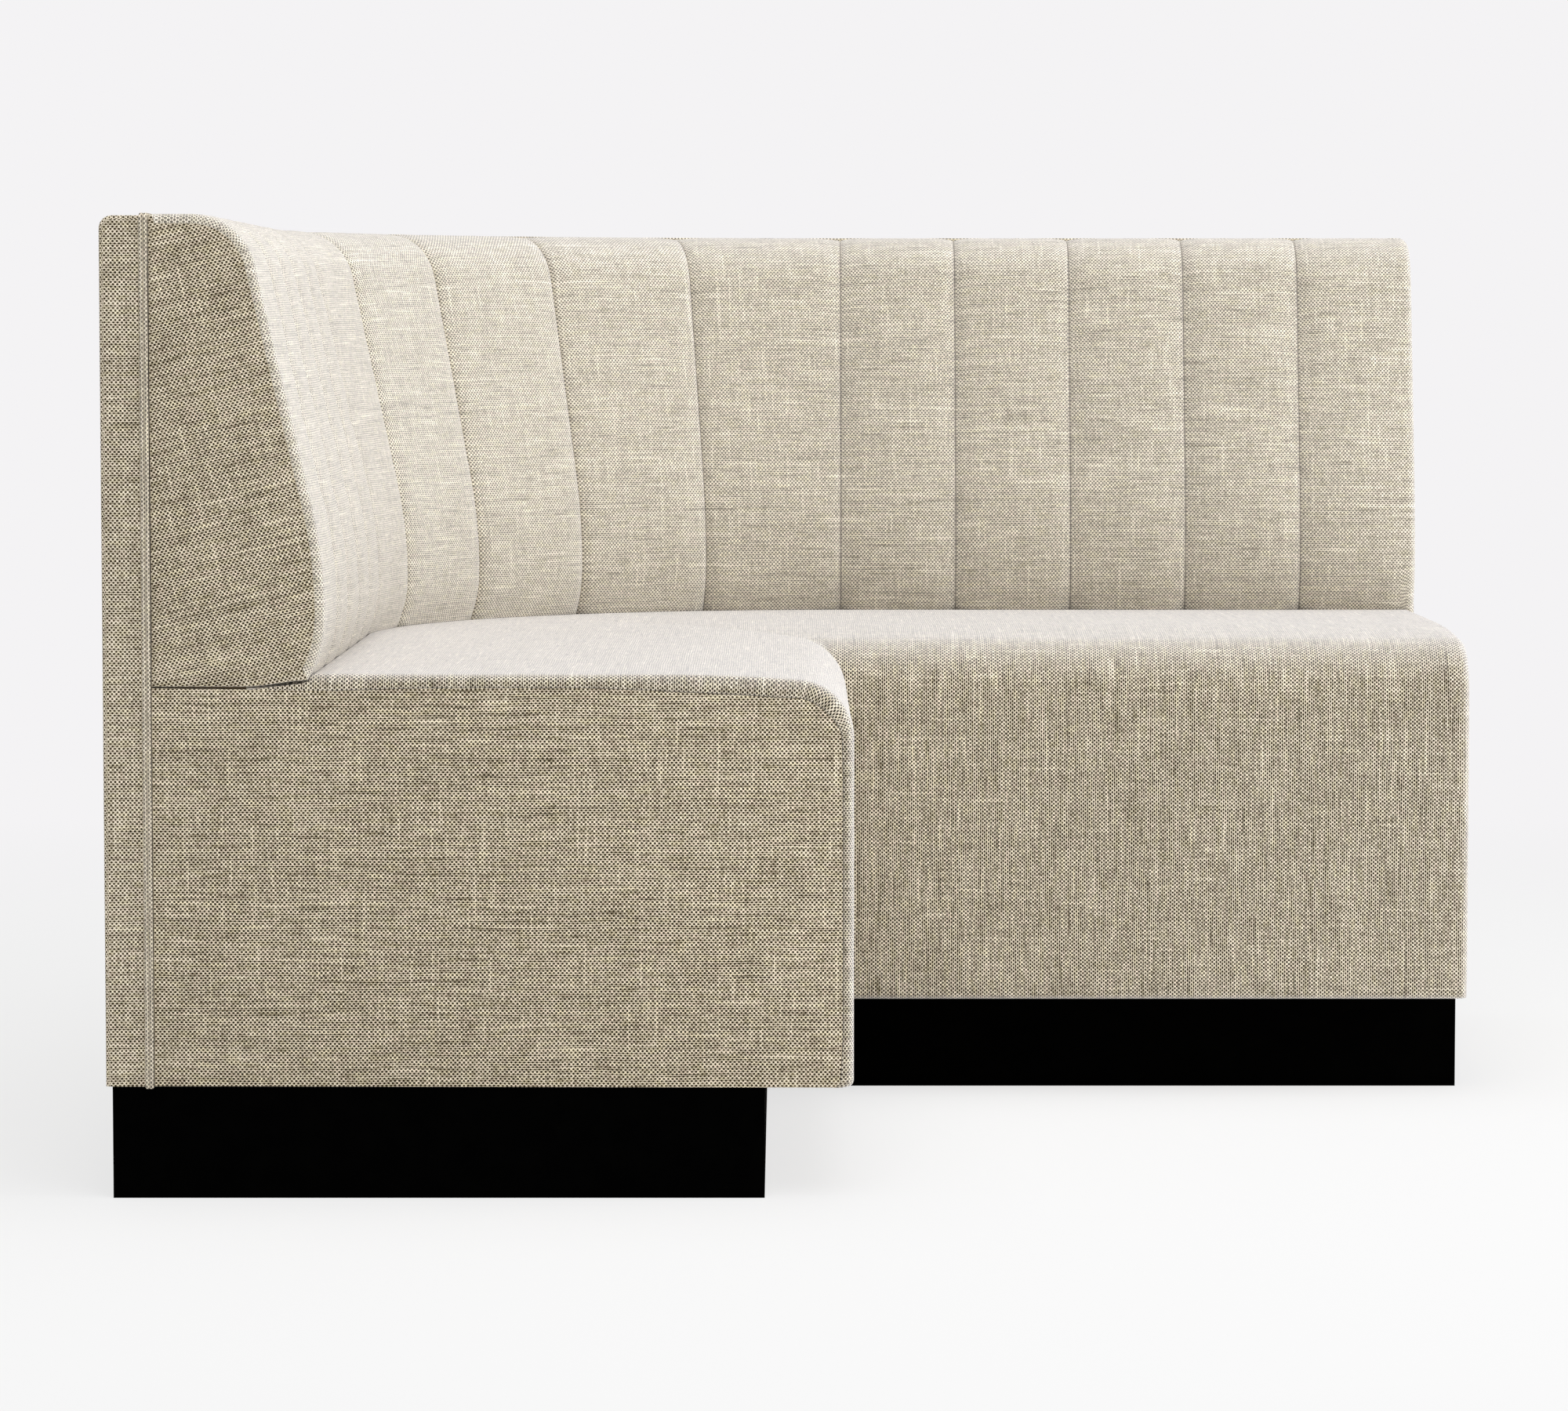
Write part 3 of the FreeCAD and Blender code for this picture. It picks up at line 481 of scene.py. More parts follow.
def fillingMaterial(name, pale, dark, scale, roughness):
    # foam or felt: small cells or fibres
    sheet = NodeSheet(name)
    spot = sheet.add("ShaderNodeTexCoord").outputs["Object"]
    cells = sheet.noise(spot, scale, 5.0)
    color = sheet.ramp(cells, list(zip(fillingLook["stops"], (dark, pale))))
    sheet.feed(sheet.shader.inputs["Base Color"], color)
    sheet.feed(sheet.shader.inputs["Roughness"], roughness)
    sheet.bump(cells, *fillingLook["bump"])
    return sheet.material


def steelMaterial(name, pale, dark, roughness):
    # wire or sheet steel with duller patches
    look = steelLook
    sheet = NodeSheet(name)
    spot = sheet.add("ShaderNodeTexCoord").outputs["Object"]
    wear = sheet.noise(spot, look["wearScale"], 4.0)
    color = sheet.ramp(wear, list(zip(look["stops"], (dark, pale))))
    sheet.feed(sheet.shader.inputs["Base Color"], color)
    sheet.feed(sheet.shader.inputs["Metallic"], 1.0)
    rough = sheet.spread(wear, *look["stops"], roughness, roughness + look["duller"])
    sheet.feed(sheet.shader.inputs["Roughness"], rough)
    return sheet.material


# Five copies of the one weave, lit and shaded by paint: each carries the painted shade, tint and sheen of
# the part it covers
cloth = weaveMaterial("oatmealWeave", paintedShade=0.01, paintedTint=0.06)
endCloth = weaveMaterial("oatmealWeaveEnd", paintedShade=-0.02, paintedTint=0.12)
weltCloth = weaveMaterial("oatmealWeaveWelt", paintedSheen=0.15, paintedShade=0.01, paintedTint=0.06)
backCloth = weaveMaterial("oatmealWeaveBack", paintedSheen=0.15, paintedGrazingSheen=0.27, paintedTint=-0.12)
seatCloth = weaveMaterial("oatmealWeaveSeat", turned=True, paintedGrazingSheen=0.46, paintedShade=-0.05, paintedTint=-0.04)
plywood = woodMaterial("birchPlywood", (0.62, 0.44, 0.26), (0.42, 0.27, 0.14), (3.0, 3.0, 45.0))
softwood = woodMaterial("softwood", (0.68, 0.48, 0.25), (0.48, 0.29, 0.13), (6.0, 6.0, 70.0))
foam = fillingMaterial("cushionFoam", (0.82, 0.76, 0.55), (0.66, 0.58, 0.38), 700.0, 0.9)
felt = fillingMaterial("greyFelt", (0.22, 0.21, 0.20), (0.10, 0.10, 0.10), 900.0, 1.0)
springSteel = steelMaterial("springSteel", (0.42, 0.42, 0.43), (0.25, 0.25, 0.26), 0.35)
zincSteel = steelMaterial("zincSteel", (0.62, 0.64, 0.66), (0.48, 0.49, 0.50), 0.30)

finishes = {
    "plinth_black": blackMaterial(),
    "plywood": plywood,
    "softwood": softwood,
    "foam": foam,
    "felt": felt,
    "spring_steel": springSteel,
    "zinc_steel": zincSteel,
    "upholstery_fabric": cloth,
}
for part in frame["record"]["subparts"]:
    node = nodes[part["node"]]
    node.data.materials.clear()
    node.data.materials.append(finishes[part["material_slot"]])
print("materials made and laid on the nodes")


# The back's channels

back = {
    "topFlat": 0.042,
    "topRoll": 0.060,
    "recline": math.radians(13),
    "bulgeRise": 0.056,
    "bulgeRadius": 0.450,
    "footTuck": 0.013,
    "footOverlap": 0.019,
    "sink": 0.0095,
    "dip": 0.0035,
    "fullness": 4.5,
    "rearRoll": 0.006,
    "rearSteps": 4,
    "topSteps": 4,
    "crestSteps": 14,
    "slopeSteps": 22,
    "bulgeSteps": 12,
    "footSteps": 10,
    "innerSteps": (2, 8, 2, 3),
    "wedgeSteps": (4, 2, 9),
    "columns": 28,
    "linerFoot": 0.1606,
    "linerTop": 0.0723,
    "railBottom": 0.8715,
    "softness": 0.0007,
    "softScale": 11.0,
    "clothShift": 0.137,
    "heldRows": (6, 3),
    "hair": 0.00005,
    "endRoll": 0.009,
    "endSink": 0.002,
    "endSteps": 8,
    "rollSteps": 6,
    "edgeShare": 0.08,
    "domeMiddle": (0.105, 0.66),
    "dome": ((0.08, 0.0004), (0.22, 0.0010), (0.45, 0.0016), (0.75, 0.0019), (1.0, 0.0020)),
    "endBottom": 0.4775,
    "endRise": 0.0060,
    "riseStart": 0.135,
    "riseLength": 0.055,
    "probe": 0.001,
    "endClothFrom": (0, 0, 0.5),
}
back["bulgeHeight"] = bench["seatTop"] + back["bulgeRise"]
back["footRadius"] = (back["bulgeRise"] ** 2 + back["footTuck"] ** 2) / (2 * back["footTuck"])
flatFoot = back["bulgeHeight"] + back["bulgeRadius"] * math.sin(back["recline"])
flatTop = bench["backTop"] - back["topRoll"] * (1 - math.sin(back["recline"]))
back["reach"] = (
    bench["wrapDepth"] + back["topFlat"] + back["topRoll"] * math.cos(back["recline"])
    + (flatTop - flatFoot) * math.tan(back["recline"])
    + back["bulgeRadius"] * (1 - math.cos(back["recline"]))
)


def backFace(sink, dip, foot):
    # the back's face in section, from its rear top edge over the roll and down to its foot
    lean, roll = back["recline"], back["topRoll"]
    reach = back["reach"] - sink
    top = bench["backTop"] - dip
    bulgeCentre = (reach - back["bulgeRadius"], back["bulgeHeight"])
    bend = onCircle(bulgeCentre, back["bulgeRadius"], lean)
    rollEndZ = top - roll + roll * math.sin(lean)
    rollEnd = (bend[0] - (rollEndZ - bend[1]) * math.tan(lean), rollEndZ)
    rollCentre = (rollEnd[0] - roll * math.cos(lean), top - roll)
    rear = bench["wrapDepth"] + bench["gap"]
    small = back["rearRoll"]
    run = [(rear, top - small)]
    run += arcRun((rear + small, top - small), small, math.pi, math.pi / 2, back["rearSteps"])
    run += lineRun(run[-1], (rollCentre[0], top), back["topSteps"])
    run += arcRun(rollCentre, roll, math.pi / 2, lean, back["crestSteps"])
    run += lineRun(rollEnd, bend, back["slopeSteps"])
    run += arcRun(bulgeCentre, back["bulgeRadius"], lean, 0, back["bulgeSteps"])
    footCentre = (reach - back["footRadius"], back["bulgeHeight"])
    footAngle = -math.asin((back["bulgeHeight"] - foot) / back["footRadius"])
    run += arcRun(footCentre, back["footRadius"], 0, footAngle, back["footSteps"])
    return run


def channelRing(sink, dip):
    face = backFace(sink, dip, bench["seatTop"] - back["footOverlap"])
    rear = bench["wrapDepth"] + bench["gap"]
    ring = list(face)
    corners = [
        (back["linerFoot"], face[-1][1]),
        (back["linerTop"], back["railBottom"]),
        (rear, back["railBottom"]),
        face[0],
    ]
    for corner, steps in zip(corners, back["innerSteps"]):
        ring += lineRun(ring[-1], corner, steps)
    return ring, len(face)


def crownSink(x):
    # how far the face has sunk at x, from -1 at one seam over 0 on the crown to 1 at the other
    return back["sink"] * (1 - math.sqrt(max(0.0, 1 - abs(x) ** back["fullness"])))


def channelForm(spots, widths, seed):
    # spots gives a point for (x across, o, z); widths the cloth's distance from the crown line
    columns = back["columns"]
    heldTop, heldFoot = back["heldRows"]
    crossings = [-math.cos(math.pi * k / columns) for k in range(columns + 1)]
    rings = []
    for x in crossings:
        share = crownSink(x) / back["sink"]
        ring, faceCount = channelRing(back["sink"] * share, back["dip"] * share)
        rings.append(ring)
    middle = rings[columns // 2]
    lengths = runLengths(middle)

    def place(column, row):
        x = crossings[column]
        o, z = rings[column][row]
        point = spots(x, o, z)
        if 0 < row < faceCount - 1 and 0 < column < columns:
            give = 2 * (1 - x * x) * back["softness"]
            outward = (spots(x, o + back["probe"], z) - point).normalized()
            point += outward * softNoise(point, back["softScale"], give, seed)
        return point

    def flat(column, row):
        o = rings[column][min(row, faceCount - 1)][0]
        return (widths(crossings[column], o) + seed * back["clothShift"], -lengths[row])

    def loose(column, row):
        return heldTop < row < faceCount - heldFoot and 1 < column < columns - 1

    bm = gridForm(columns, len(middle) - 1, place, flat, loose)
    capEnds(bm)
    return bm


# Numbered as the nodes are: 01 at the left wing's end, 15 at the right wing's end. Each wing and
# the corner have the same number of channels, and the last one of each wing follows further down.
channelCount = 5
straightWidth = bench["run"] / channelCount
arcWidth = math.radians(90) / channelCount
for k in range(channelCount - 1):
    centre = straightWidth * (k + 0.5)

    def straightSpot(x, o, z, centre=centre):
        return wingPoint(centre + x * (straightWidth / 2 - back["hair"]), o, z)

    def straightCloth(x, o):
        return x * straightWidth / 2

    for side, number in (("right", 2 * channelCount + 1 + k), ("left", channelCount - k)):
        bm = channelForm(straightSpot, straightCloth, number)
        if side == "left":
            toLeft(bm)
        piece = finishPiece(bm, f"backChannel{number:02d}", backCloth)
        puffed.append(piece)
        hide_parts(f"back_channel_{number:02d}")
for k in range(channelCount):
    centre = arcWidth * (k + 0.5)

    def arcSpot(x, o, z, centre=centre):
        return arcPoint(centre - x * (arcWidth / 2 - back["hair"]), o, z)

    def arcCloth(x, o):
        return x * arcWidth / 2 * (bench["wingDepth"] - o)

    number = 2 * channelCount - k
    piece = finishPiece(channelForm(arcSpot, arcCloth, number), f"backChannel{number:02d}", backCloth)
    puffed.append(piece)
    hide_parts(f"back_channel_{number:02d}")
print("inner channels made")


def wedgeBottom(o):
    # the wedge's lower edge, which rises a little towards its front
    return back["endBottom"] + back["endRise"] * smooth((o - back["riseStart"]) / back["riseLength"])


def wedgeRing(sink):
    # the whole wedge of the back's end, with as many points as a channel's ring
    face = backFace(sink, 0.0, back["endBottom"] + back["endRise"])
    rear = bench["wrapDepth"] + bench["gap"]
    ring = list(face)
    lower, level, rise = back["wedgeSteps"]
    for o, z in lineRun(face[-1], (back["riseStart"], 0.0), lower):
        ring.append((o, wedgeBottom(o)))
    for corner, steps in (((rear, back["endBottom"]), level), (face[0], rise)):
        ring += lineRun(ring[-1], corner, steps)
    return ring, len(face)


def endChannelForm(seed):
    # the last channel: its cloth goes round the wing's end and covers the end panel too
    start = straightWidth * (channelCount - 1)
    roll, endSink = back["endRoll"], back["endSink"]
    heldTop, heldFoot = back["heldRows"]
    rollStart = bench["run"] - roll
    halfWidth = (rollStart - start) / 2
    crossings = [math.cos(math.pi * k / back["columns"]) for k in range(back["columns"] // 2)]
    columns = [(start + back["hair"] + (1 - x) * halfWidth, crownSink(x), 0.0) for x in crossings]
    shares = [k / back["endSteps"] for k in range(back["endSteps"] + 1)]
    columns += [(start + (1 + share) * halfWidth, endSink * share ** 2, 0.0) for share in shares]
    wall = len(columns) - 1
    for k in range(1, back["rollSteps"] + 1):
        angle = math.pi / 2 * k / back["rollSteps"]
        columns.append((rollStart + roll * math.sin(angle), endSink, roll * (1 - math.cos(angle))))
    rings = []
    for k, (t, sink, inset) in enumerate(columns):
        if k < wall:
            ring, faceCount = channelRing(sink, back["dip"] * sink / back["sink"])
        else:
            ring, faceCount = wedgeRing(sink)
        if inset > 0:
            loop = ring[:-1]
            small = inset * back["edgeShare"]  # the roll is small along the wedge's rear and lower edges
            top = back["rearSteps"]
            amounts = [inset if top <= row < faceCount - 1 else small for row in range(len(loop))]
            ring = insetRing(loop, amounts)
            ring.append(ring[0])
        rings.append(ring)
    for share, rise in back["dome"]:
        columns.append((bench["run"] + rise, endSink, roll))
        rings.append([tuple(a + (b - a) * share for a, b in zip(spot, back["domeMiddle"])) for spot in ring])
    lengths = runLengths(rings[0])
    distances = runLengths([(t, inset) for t, sink, inset in columns])

    def place(column, row):
        t, sink, inset = columns[column]
        o, z = rings[column][row]
        if row >= faceCount and column in (wall - 1, wall):
            t = bench["endInside"] + (bench["gap"] if column == wall else 0)
        point = wingPoint(t, o, z)
        if inset == 0.0 and 0 < row < faceCount - 1:
            point.y -= softNoise(point, back["softScale"], back["softness"], seed)
        return point

    def flat(column, row):
        return (distances[column] + seed * back["clothShift"], -lengths[row])

    def loose(column, row):
        return heldTop < row < faceCount - heldFoot and 1 < column < wall - 1

    bm = gridForm(len(columns) - 1, len(lengths) - 1, place, flat, loose)
    capEnds(bm)
    bmesh.ops.recalc_face_normals(bm, faces=bm.faces)
    edgeX = bench["corner"] + bench["run"] - bench["join"]
    endFaces = [face for face in bm.faces if all(vert.co.x > edgeX for vert in face.verts)]
    boxWeave(bm, endFaces, turn=back["recline"], origin=back["endClothFrom"])
    # the end faces take the end copy of the weave, darkened by painted shade
    for face in endFaces:
        face.material_index = 1
    return bm


for side, number in (("right", 3 * channelCount), ("left", 1)):
    bm = endChannelForm(number)
    if side == "left":
        toLeft(bm)
    piece = finishPiece(bm, f"backChannel{number:02d}", backCloth)
    piece.data.materials.append(endCloth)
    puffed.append(piece)
    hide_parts(f"back_channel_{number:02d}", f"back_end_panel_{side}")
print("end channels made")


# The seat's cover: one shell over both wings, mitred at the inner corner

seat = {
    "rear": 0.1953,
    "noseRadius": 0.054,
    "browRadius": 1.5,
    "browAngle": math.radians(5),
    "skin": 0.003,
    "bottom": 0.1037,
    "bottomRoll": 0.006,
    "endRoll": 0.0105,
    "pocket": 0.0123,
    "groove": 0.0008,
    "cornerPull": 0.004,
    "frontPull": -0.0025,
    "frontPullTop": (0.03, 0.08),
    "frontPullLow": 0.05,
    "endDroop": 0.0045,
    "droopFrom": (0.26, 0.14),
    "droopTo": (0.02, 0.05),
    "rearDroop": 0.0025,
    "rearDroopFrom": (0.38, 0.12),
    "rearLap": 0.002,
    "clothTurn": (0.008, 0.02),
    "columnStep": 0.018,
    "topRows": 20,
    "browRows": 10,
    "noseRows": 14,
    "frontRows": 16,
    "footRows": 4,
    "rollSteps": 7,
    "heldRows": (2, 10),
    "softness": 0.0008,
    "softScale": 6.0,
    "softSeed": 41,
    "crease": 50,
}
seat["depth"] = bench["wingDepth"] - seat["rear"]
browStart = seat["noseRadius"] + (seat["browRadius"] - seat["noseRadius"]) * math.sin(seat["browAngle"])


def seatFace(inset, rearDepth, deep=0.0):
    # from the rear over the brow and the nose, down the front and round its bottom edge
    top = bench["seatTop"]
    step = seat["browRadius"] - seat["noseRadius"]
    browCentre = (browStart, top - seat["browRadius"])
    noseCentre = (seat["noseRadius"], browCentre[1] + step * math.cos(seat["browAngle"]))
    bend = math.pi / 2 + seat["browAngle"]
    small = seat["bottomRoll"] - deep
    low = seat["bottom"] + deep
    run = [(rearDepth, top - inset)]
    run += lineRun(run[-1], (browStart, top - inset), seat["topRows"])
    run += arcRun(browCentre, seat["browRadius"] - inset, math.pi / 2, bend, seat["browRows"])
    run += arcRun(noseCentre, seat["noseRadius"] - inset, bend, math.pi, seat["noseRows"])
    run += lineRun(run[-1], (inset, low + small), seat["frontRows"])
    run += arcRun((inset + small, low + small), small, math.pi, math.pi * 1.5, seat["footRows"])
    return run


def pulledFace(face, share):
    # towards the wing's end the cover is drawn in over the nose's corner and let out a little down the front
    noseZ = bench["seatTop"] - seat["noseRadius"]
    start, reach = seat["frontPullTop"]
    pulled = []
    for a, z in face:
        turn = math.atan2(seat["noseRadius"] - a, max(z - noseZ, bench["same"]))  # 0 at the nose's top
        corner = math.sin(2 * min(max(turn, 0.0), math.pi / 2)) * seat["cornerPull"] * share
        front = smooth((noseZ + start - z) / reach) * seat["frontPull"] * share
        front *= smooth((z - bench["plinthTop"]) / seat["frontPullLow"])
        pulled.append((a + corner * math.sqrt(0.5) + front, z - corner * math.sqrt(0.5)))
    return pulled


def seatRing(inset, innerInset, rearDepth):
    face = pulledFace(seatFace(inset, rearDepth), inset / seat["pocket"])
    inner = seatFace(innerInset, rearDepth, deep=max(0.0, innerInset - inset))
    inner = pulledFace(inner, inset / seat["pocket"])
    return face + inner[::-1] + face[:1], len(face)


def endDroop(a, t):
    # how far the top has sunk near the wing's end, most behind the nose
    (start, fade), (stop, rise), (rear, spread) = seat["droopFrom"], seat["droopTo"], seat["rearDroopFrom"]
    share = smooth((t - bench["run"] + seat["endRoll"]) / seat["endRoll"])
    front = seat["endDroop"] * smooth((start - a) / fade) * smooth((a - stop) / rise)
    return share * (front + seat["rearDroop"] * smooth((a - rear) / spread))


def wedgeFront(z):
    # where the wedge's front or lower edge stands at a height near the seat's top
    low = back["endBottom"] + back["endRise"]
    if z < low:
        return back["riseStart"] + back["riseLength"] * max(0.0, z - back["endBottom"]) / back["endRise"]
    fall = back["bulgeHeight"] - z
    return back["reach"] - back["footRadius"] + math.sqrt(back["footRadius"] ** 2 - fall * fall)


def seatColumns():
    # each column: where its outer and inner surfaces lie along the wing, their insets, the cloth's length
    roll, skin, run = seat["endRoll"], seat["skin"], bench["run"]
    wall = bench["endInside"] - bench["gap"]
    pocket, groove = seat["pocket"], run - seat["groove"]
    grooveCloth, wallCloth = seat["clothTurn"]
    columns = [
        (wall, wall, pocket, pocket - skin, run + wallCloth),
        (groove, groove - skin, pocket, pocket - skin, run + grooveCloth),
    ]
    for k in range(seat["rollSteps"], -1, -1):
        angle = math.pi / 2 * k / seat["rollSteps"]
        columns.append((
            run - roll + roll * math.sin(angle),
            run - roll + (roll - skin) * math.sin(angle),
            roll * (1 - math.cos(angle)),
            roll - (roll - skin) * math.cos(angle),
            run - roll + roll * angle,
        ))
    far = -seat["depth"] / math.sqrt(2) - seat["columnStep"]
    steps = round((run - roll) / seat["columnStep"])
    spots = [(run - roll) * (1 - k / steps) for k in range(1, steps + 1)]
    steps = round(-far / seat["columnStep"])
    spots += [far * k / steps for k in range(1, steps + 1)]
    columns += [(t, t, 0.0, skin, t) for t in spots]
    return columns


def seatForm():
    columns = seatColumns()
    heldTop, heldFoot = seat["heldRows"]
    rings = []
    for t, innerT, inset, innerInset, across in columns:
        rearDepth = seat["depth"] if t >= 0 else math.sqrt(seat["depth"] ** 2 - t * t)
        if inset > 0:
            rearDepth = bench["wingDepth"] - wedgeFront(bench["seatTop"] - inset) + seat["rearLap"]
        ring, faceCount = seatRing(inset, innerInset, rearDepth)
        rings.append(ring)
    reference = rings[-1]
    spans = runLengths(reference)

    def place(column, row):
        t, innerT, inset, innerInset, across = columns[column]
        a, z = rings[column][row]
        inside = faceCount <= row < len(reference) - 1
        point = Vector((bench["corner"] + (innerT if inside else t), a - bench["corner"], z))
        if 0 < row < faceCount - seat["footRows"] - 2 and inset == 0.0:
            point.z += softNoise(point, seat["softScale"], seat["softness"], seat["softSeed"])
        point.z -= endDroop(a, t)
        return point

    def flat(column, row):
        across = columns[column][4]
        if row <= seat["topRows"]:
            return (across, rings[column][row][0])
        return (across, browStart - (spans[row] - spans[seat["topRows"]]))

    def loose(column, row):
        return heldTop < row < faceCount - heldFoot and columns[column][2] == 0.0

    return gridForm(len(columns) - 1, len(reference) - 1, place, flat, loose)


def seatWhole():
    bm = seatForm()
    weave = weaveLayer(bm)
    for face in bm.faces:
        for loop in face.loops:
            loop[weave].uv = loop[weave].uv + Vector((bench["corner"], -bench["corner"]))
    cutAtDiagonal(bm)
    hold = bm.verts.layers.deform.verify()
    for vert in bm.verts:
        if abs(vert.co.x + vert.co.y) < bench["join"]:
            vert[hold][0] = 1.0
    addLeftHalf(bm, swapCloth=True)
    capEnds(bm)
    return bm


seatPiece = finishPiece(seatWhole(), "seatCover", seatCloth, creaseAngle=seat["crease"])
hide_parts("seat_cover_right", "seat_cover_left", "seat_cover_corner")
puffed.append(seatPiece)
print("seat cover made")


puffCovers()
print("covers puffed by cloth simulation:", len(puffed))


# The seat's end panels

endPanel = {"edge": 0.0014, "clear": 0.0003, "edgeSteps": 3, "crease": 40}


def endPanelForm():
    inset = seat["pocket"] + endPanel["clear"]
    face = pulledFace(seatFace(inset, seat["depth"]), 1.0)
    rearO = bench["wrapDepth"] + endPanel["clear"]
    outline = [(bench["wingDepth"] - a, z - endDroop(a, bench["run"])) for a, z in face[1:]]
    outline.append((rearO, bench["plinthTop"]))
    outline.append((rearO, bench["seatTop"] - inset))
    inner = bench["endInside"] + endPanel["clear"]
    bm = bmesh.new()
    verts = [bm.verts.new(wingPoint(inner, o, z)) for o, z in outline]
    base = bm.faces.new(verts)
    made = bmesh.ops.extrude_face_region(bm, geom=[base])["geom"]
    moved = [item for item in made if isinstance(item, bmesh.types.BMVert)]
    bmesh.ops.translate(bm, verts=moved, vec=(bench["run"] - inner, 0, 0))
    front = next(item for item in made if isinstance(item, bmesh.types.BMFace))
    bmesh.ops.bevel(bm, geom=list(front.edges), offset=endPanel["edge"], affect="EDGES",
                    segments=endPanel["edgeSteps"], profile=0.5, material=-1)
    bmesh.ops.recalc_face_normals(bm, faces=bm.faces)
    boxWeave(bm, bm.faces)
    return bm


for side in ("right", "left"):
    bm = endPanelForm()
    if side == "left":
        toLeft(bm)
    # the end panels take the end copy of the weave, darkened by painted shade
    piece = finishPiece(bm, "seatEndPanel" + side.capitalize(), endCloth, creaseAngle=endPanel["crease"])
    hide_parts(f"seat_end_panel_{side}")
print("seat end panels made")


# The outside back: a wrapped shell, its strips at both ends and its band along the top

outside = {
    "cornerRoll": 0.012,
    "endRoll": 0.0035,
    "skin": 0.0045,
    "endInsets": (0.0446, 0.030, 0.016),
    "leastRoll": 0.0003,
    "bandRows": 4,
    "rollRows": 6,
    "downRows": 12,
    "rollSteps": 4,
    "wingSteps": 4,
    "halfCornerSteps": 18,
    "crease": 50,
}


def alongBack(place, o, z):
    # place is metres along the right wing, or below zero the angle round the corner
    return wingPoint(place, o, z) if place >= 0 else arcPoint(-place, o, z)


def outsideFace(inset):
    # from the front of the top band, round the outer top edge and down the outer face
    top = bench["stripTop"] - inset
    roll = max(outside["cornerRoll"] - inset, outside["leastRoll"])
    run = [(bench["wrapDepth"], top)]
    run += lineRun(run[-1], (inset + roll, top), outside["bandRows"])
    run += arcRun((inset + roll, top - roll), roll, math.pi / 2, math.pi, outside["rollRows"])
    run += lineRun(run[-1], (inset, bench["plinthTop"]), outside["downRows"])
    return run


def outsideForm():
    roll, skin, run = outside["endRoll"], outside["skin"], bench["run"]
    columns = [(run, inset, run - skin, inset, run + inset) for inset in outside["endInsets"]]
    for k in range(outside["rollSteps"], -1, -1):
        angle = math.pi / 2 * k / outside["rollSteps"]
        columns.append((run - roll * (1 - math.sin(angle)), roll * (1 - math.cos(angle)),
                        run - skin, skin, run - roll * (1 - angle)))
    spots = [run * (1 - k / outside["wingSteps"]) for k in range(1, outside["wingSteps"] + 1)]
    columns += [(spot, 0.0, spot, skin, spot) for spot in spots]
    steps = outside["halfCornerSteps"]
    turns = [-math.pi / 4 * k / steps for k in range(1, steps + 1)]
    columns += [(turn, 0.0, turn, skin, turn * bench["wingDepth"]) for turn in turns]
    faces = [outsideFace(column[1]) for column in columns]
    inners = [outsideFace(max(column[3], skin))[::-1] for column in columns]
    faceCount = len(faces[0])
    spans = runLengths(faces[-1])
    rings = [face + inner + face[:1] for face, inner in zip(faces, inners)]

    def place(column, row):
        spot, inset, innerSpot, innerInset, across = columns[column]
        inside = faceCount <= row < 2 * faceCount
        return alongBack(innerSpot if inside else spot, *rings[column][row])

    def flat(column, row):
        within = min(row, faceCount - 1)
        return (columns[column][4], -spans[within])

    bm = gridForm(len(columns) - 1, 2 * faceCount, place, flat)
    bmesh.ops.recalc_face_normals(bm, faces=bm.faces)
    edgeX = bench["corner"] + run - bench["join"]
    boxWeave(bm, [face for face in bm.faces if all(vert.co.x > edgeX for vert in face.verts)])
    addLeftHalf(bm)
    capEnds(bm)
    return bm


outsidePiece = finishPiece(outsideForm(), "outsideBack", cloth, creaseAngle=outside["crease"])
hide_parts("outside_back_cover_right", "outside_back_cover_left", "outside_back_cover_corner")
print("outside back made")


# The double welt: two piped cords side by side, up both ends and along the whole top

welt = {
    "cord": 0.00196,
    "apart": 0.002,
    "tape": 0.0005,
    "middle": 0.041,
    "low": 0.103,
    "turnRadius": 0.004,
    "turnSteps": 8,
    "upSteps": 40,
    "alongSteps": 30,
    "cordSteps": 14,
    "touch": 8,
    "endShares": (0.35, 0.75, 0.95),
    "endStep": 0.0008,
    "endWidth": 0.7,
    "crease": 80,
}


def weltRing():
    # the outline of two cords that touch, as (side, height) pairs
    ring = []
    for side in (1, -1):
        for k in range(welt["cordSteps"] + 1):
            angle = math.radians((180 - welt["touch"]) * (1 - 2 * k / welt["cordSteps"]))
            if side < 0:
                angle += math.pi
            ring.append(onCircle((side * welt["apart"], 0.0), welt["cord"], angle))
    return ring + ring[:1]


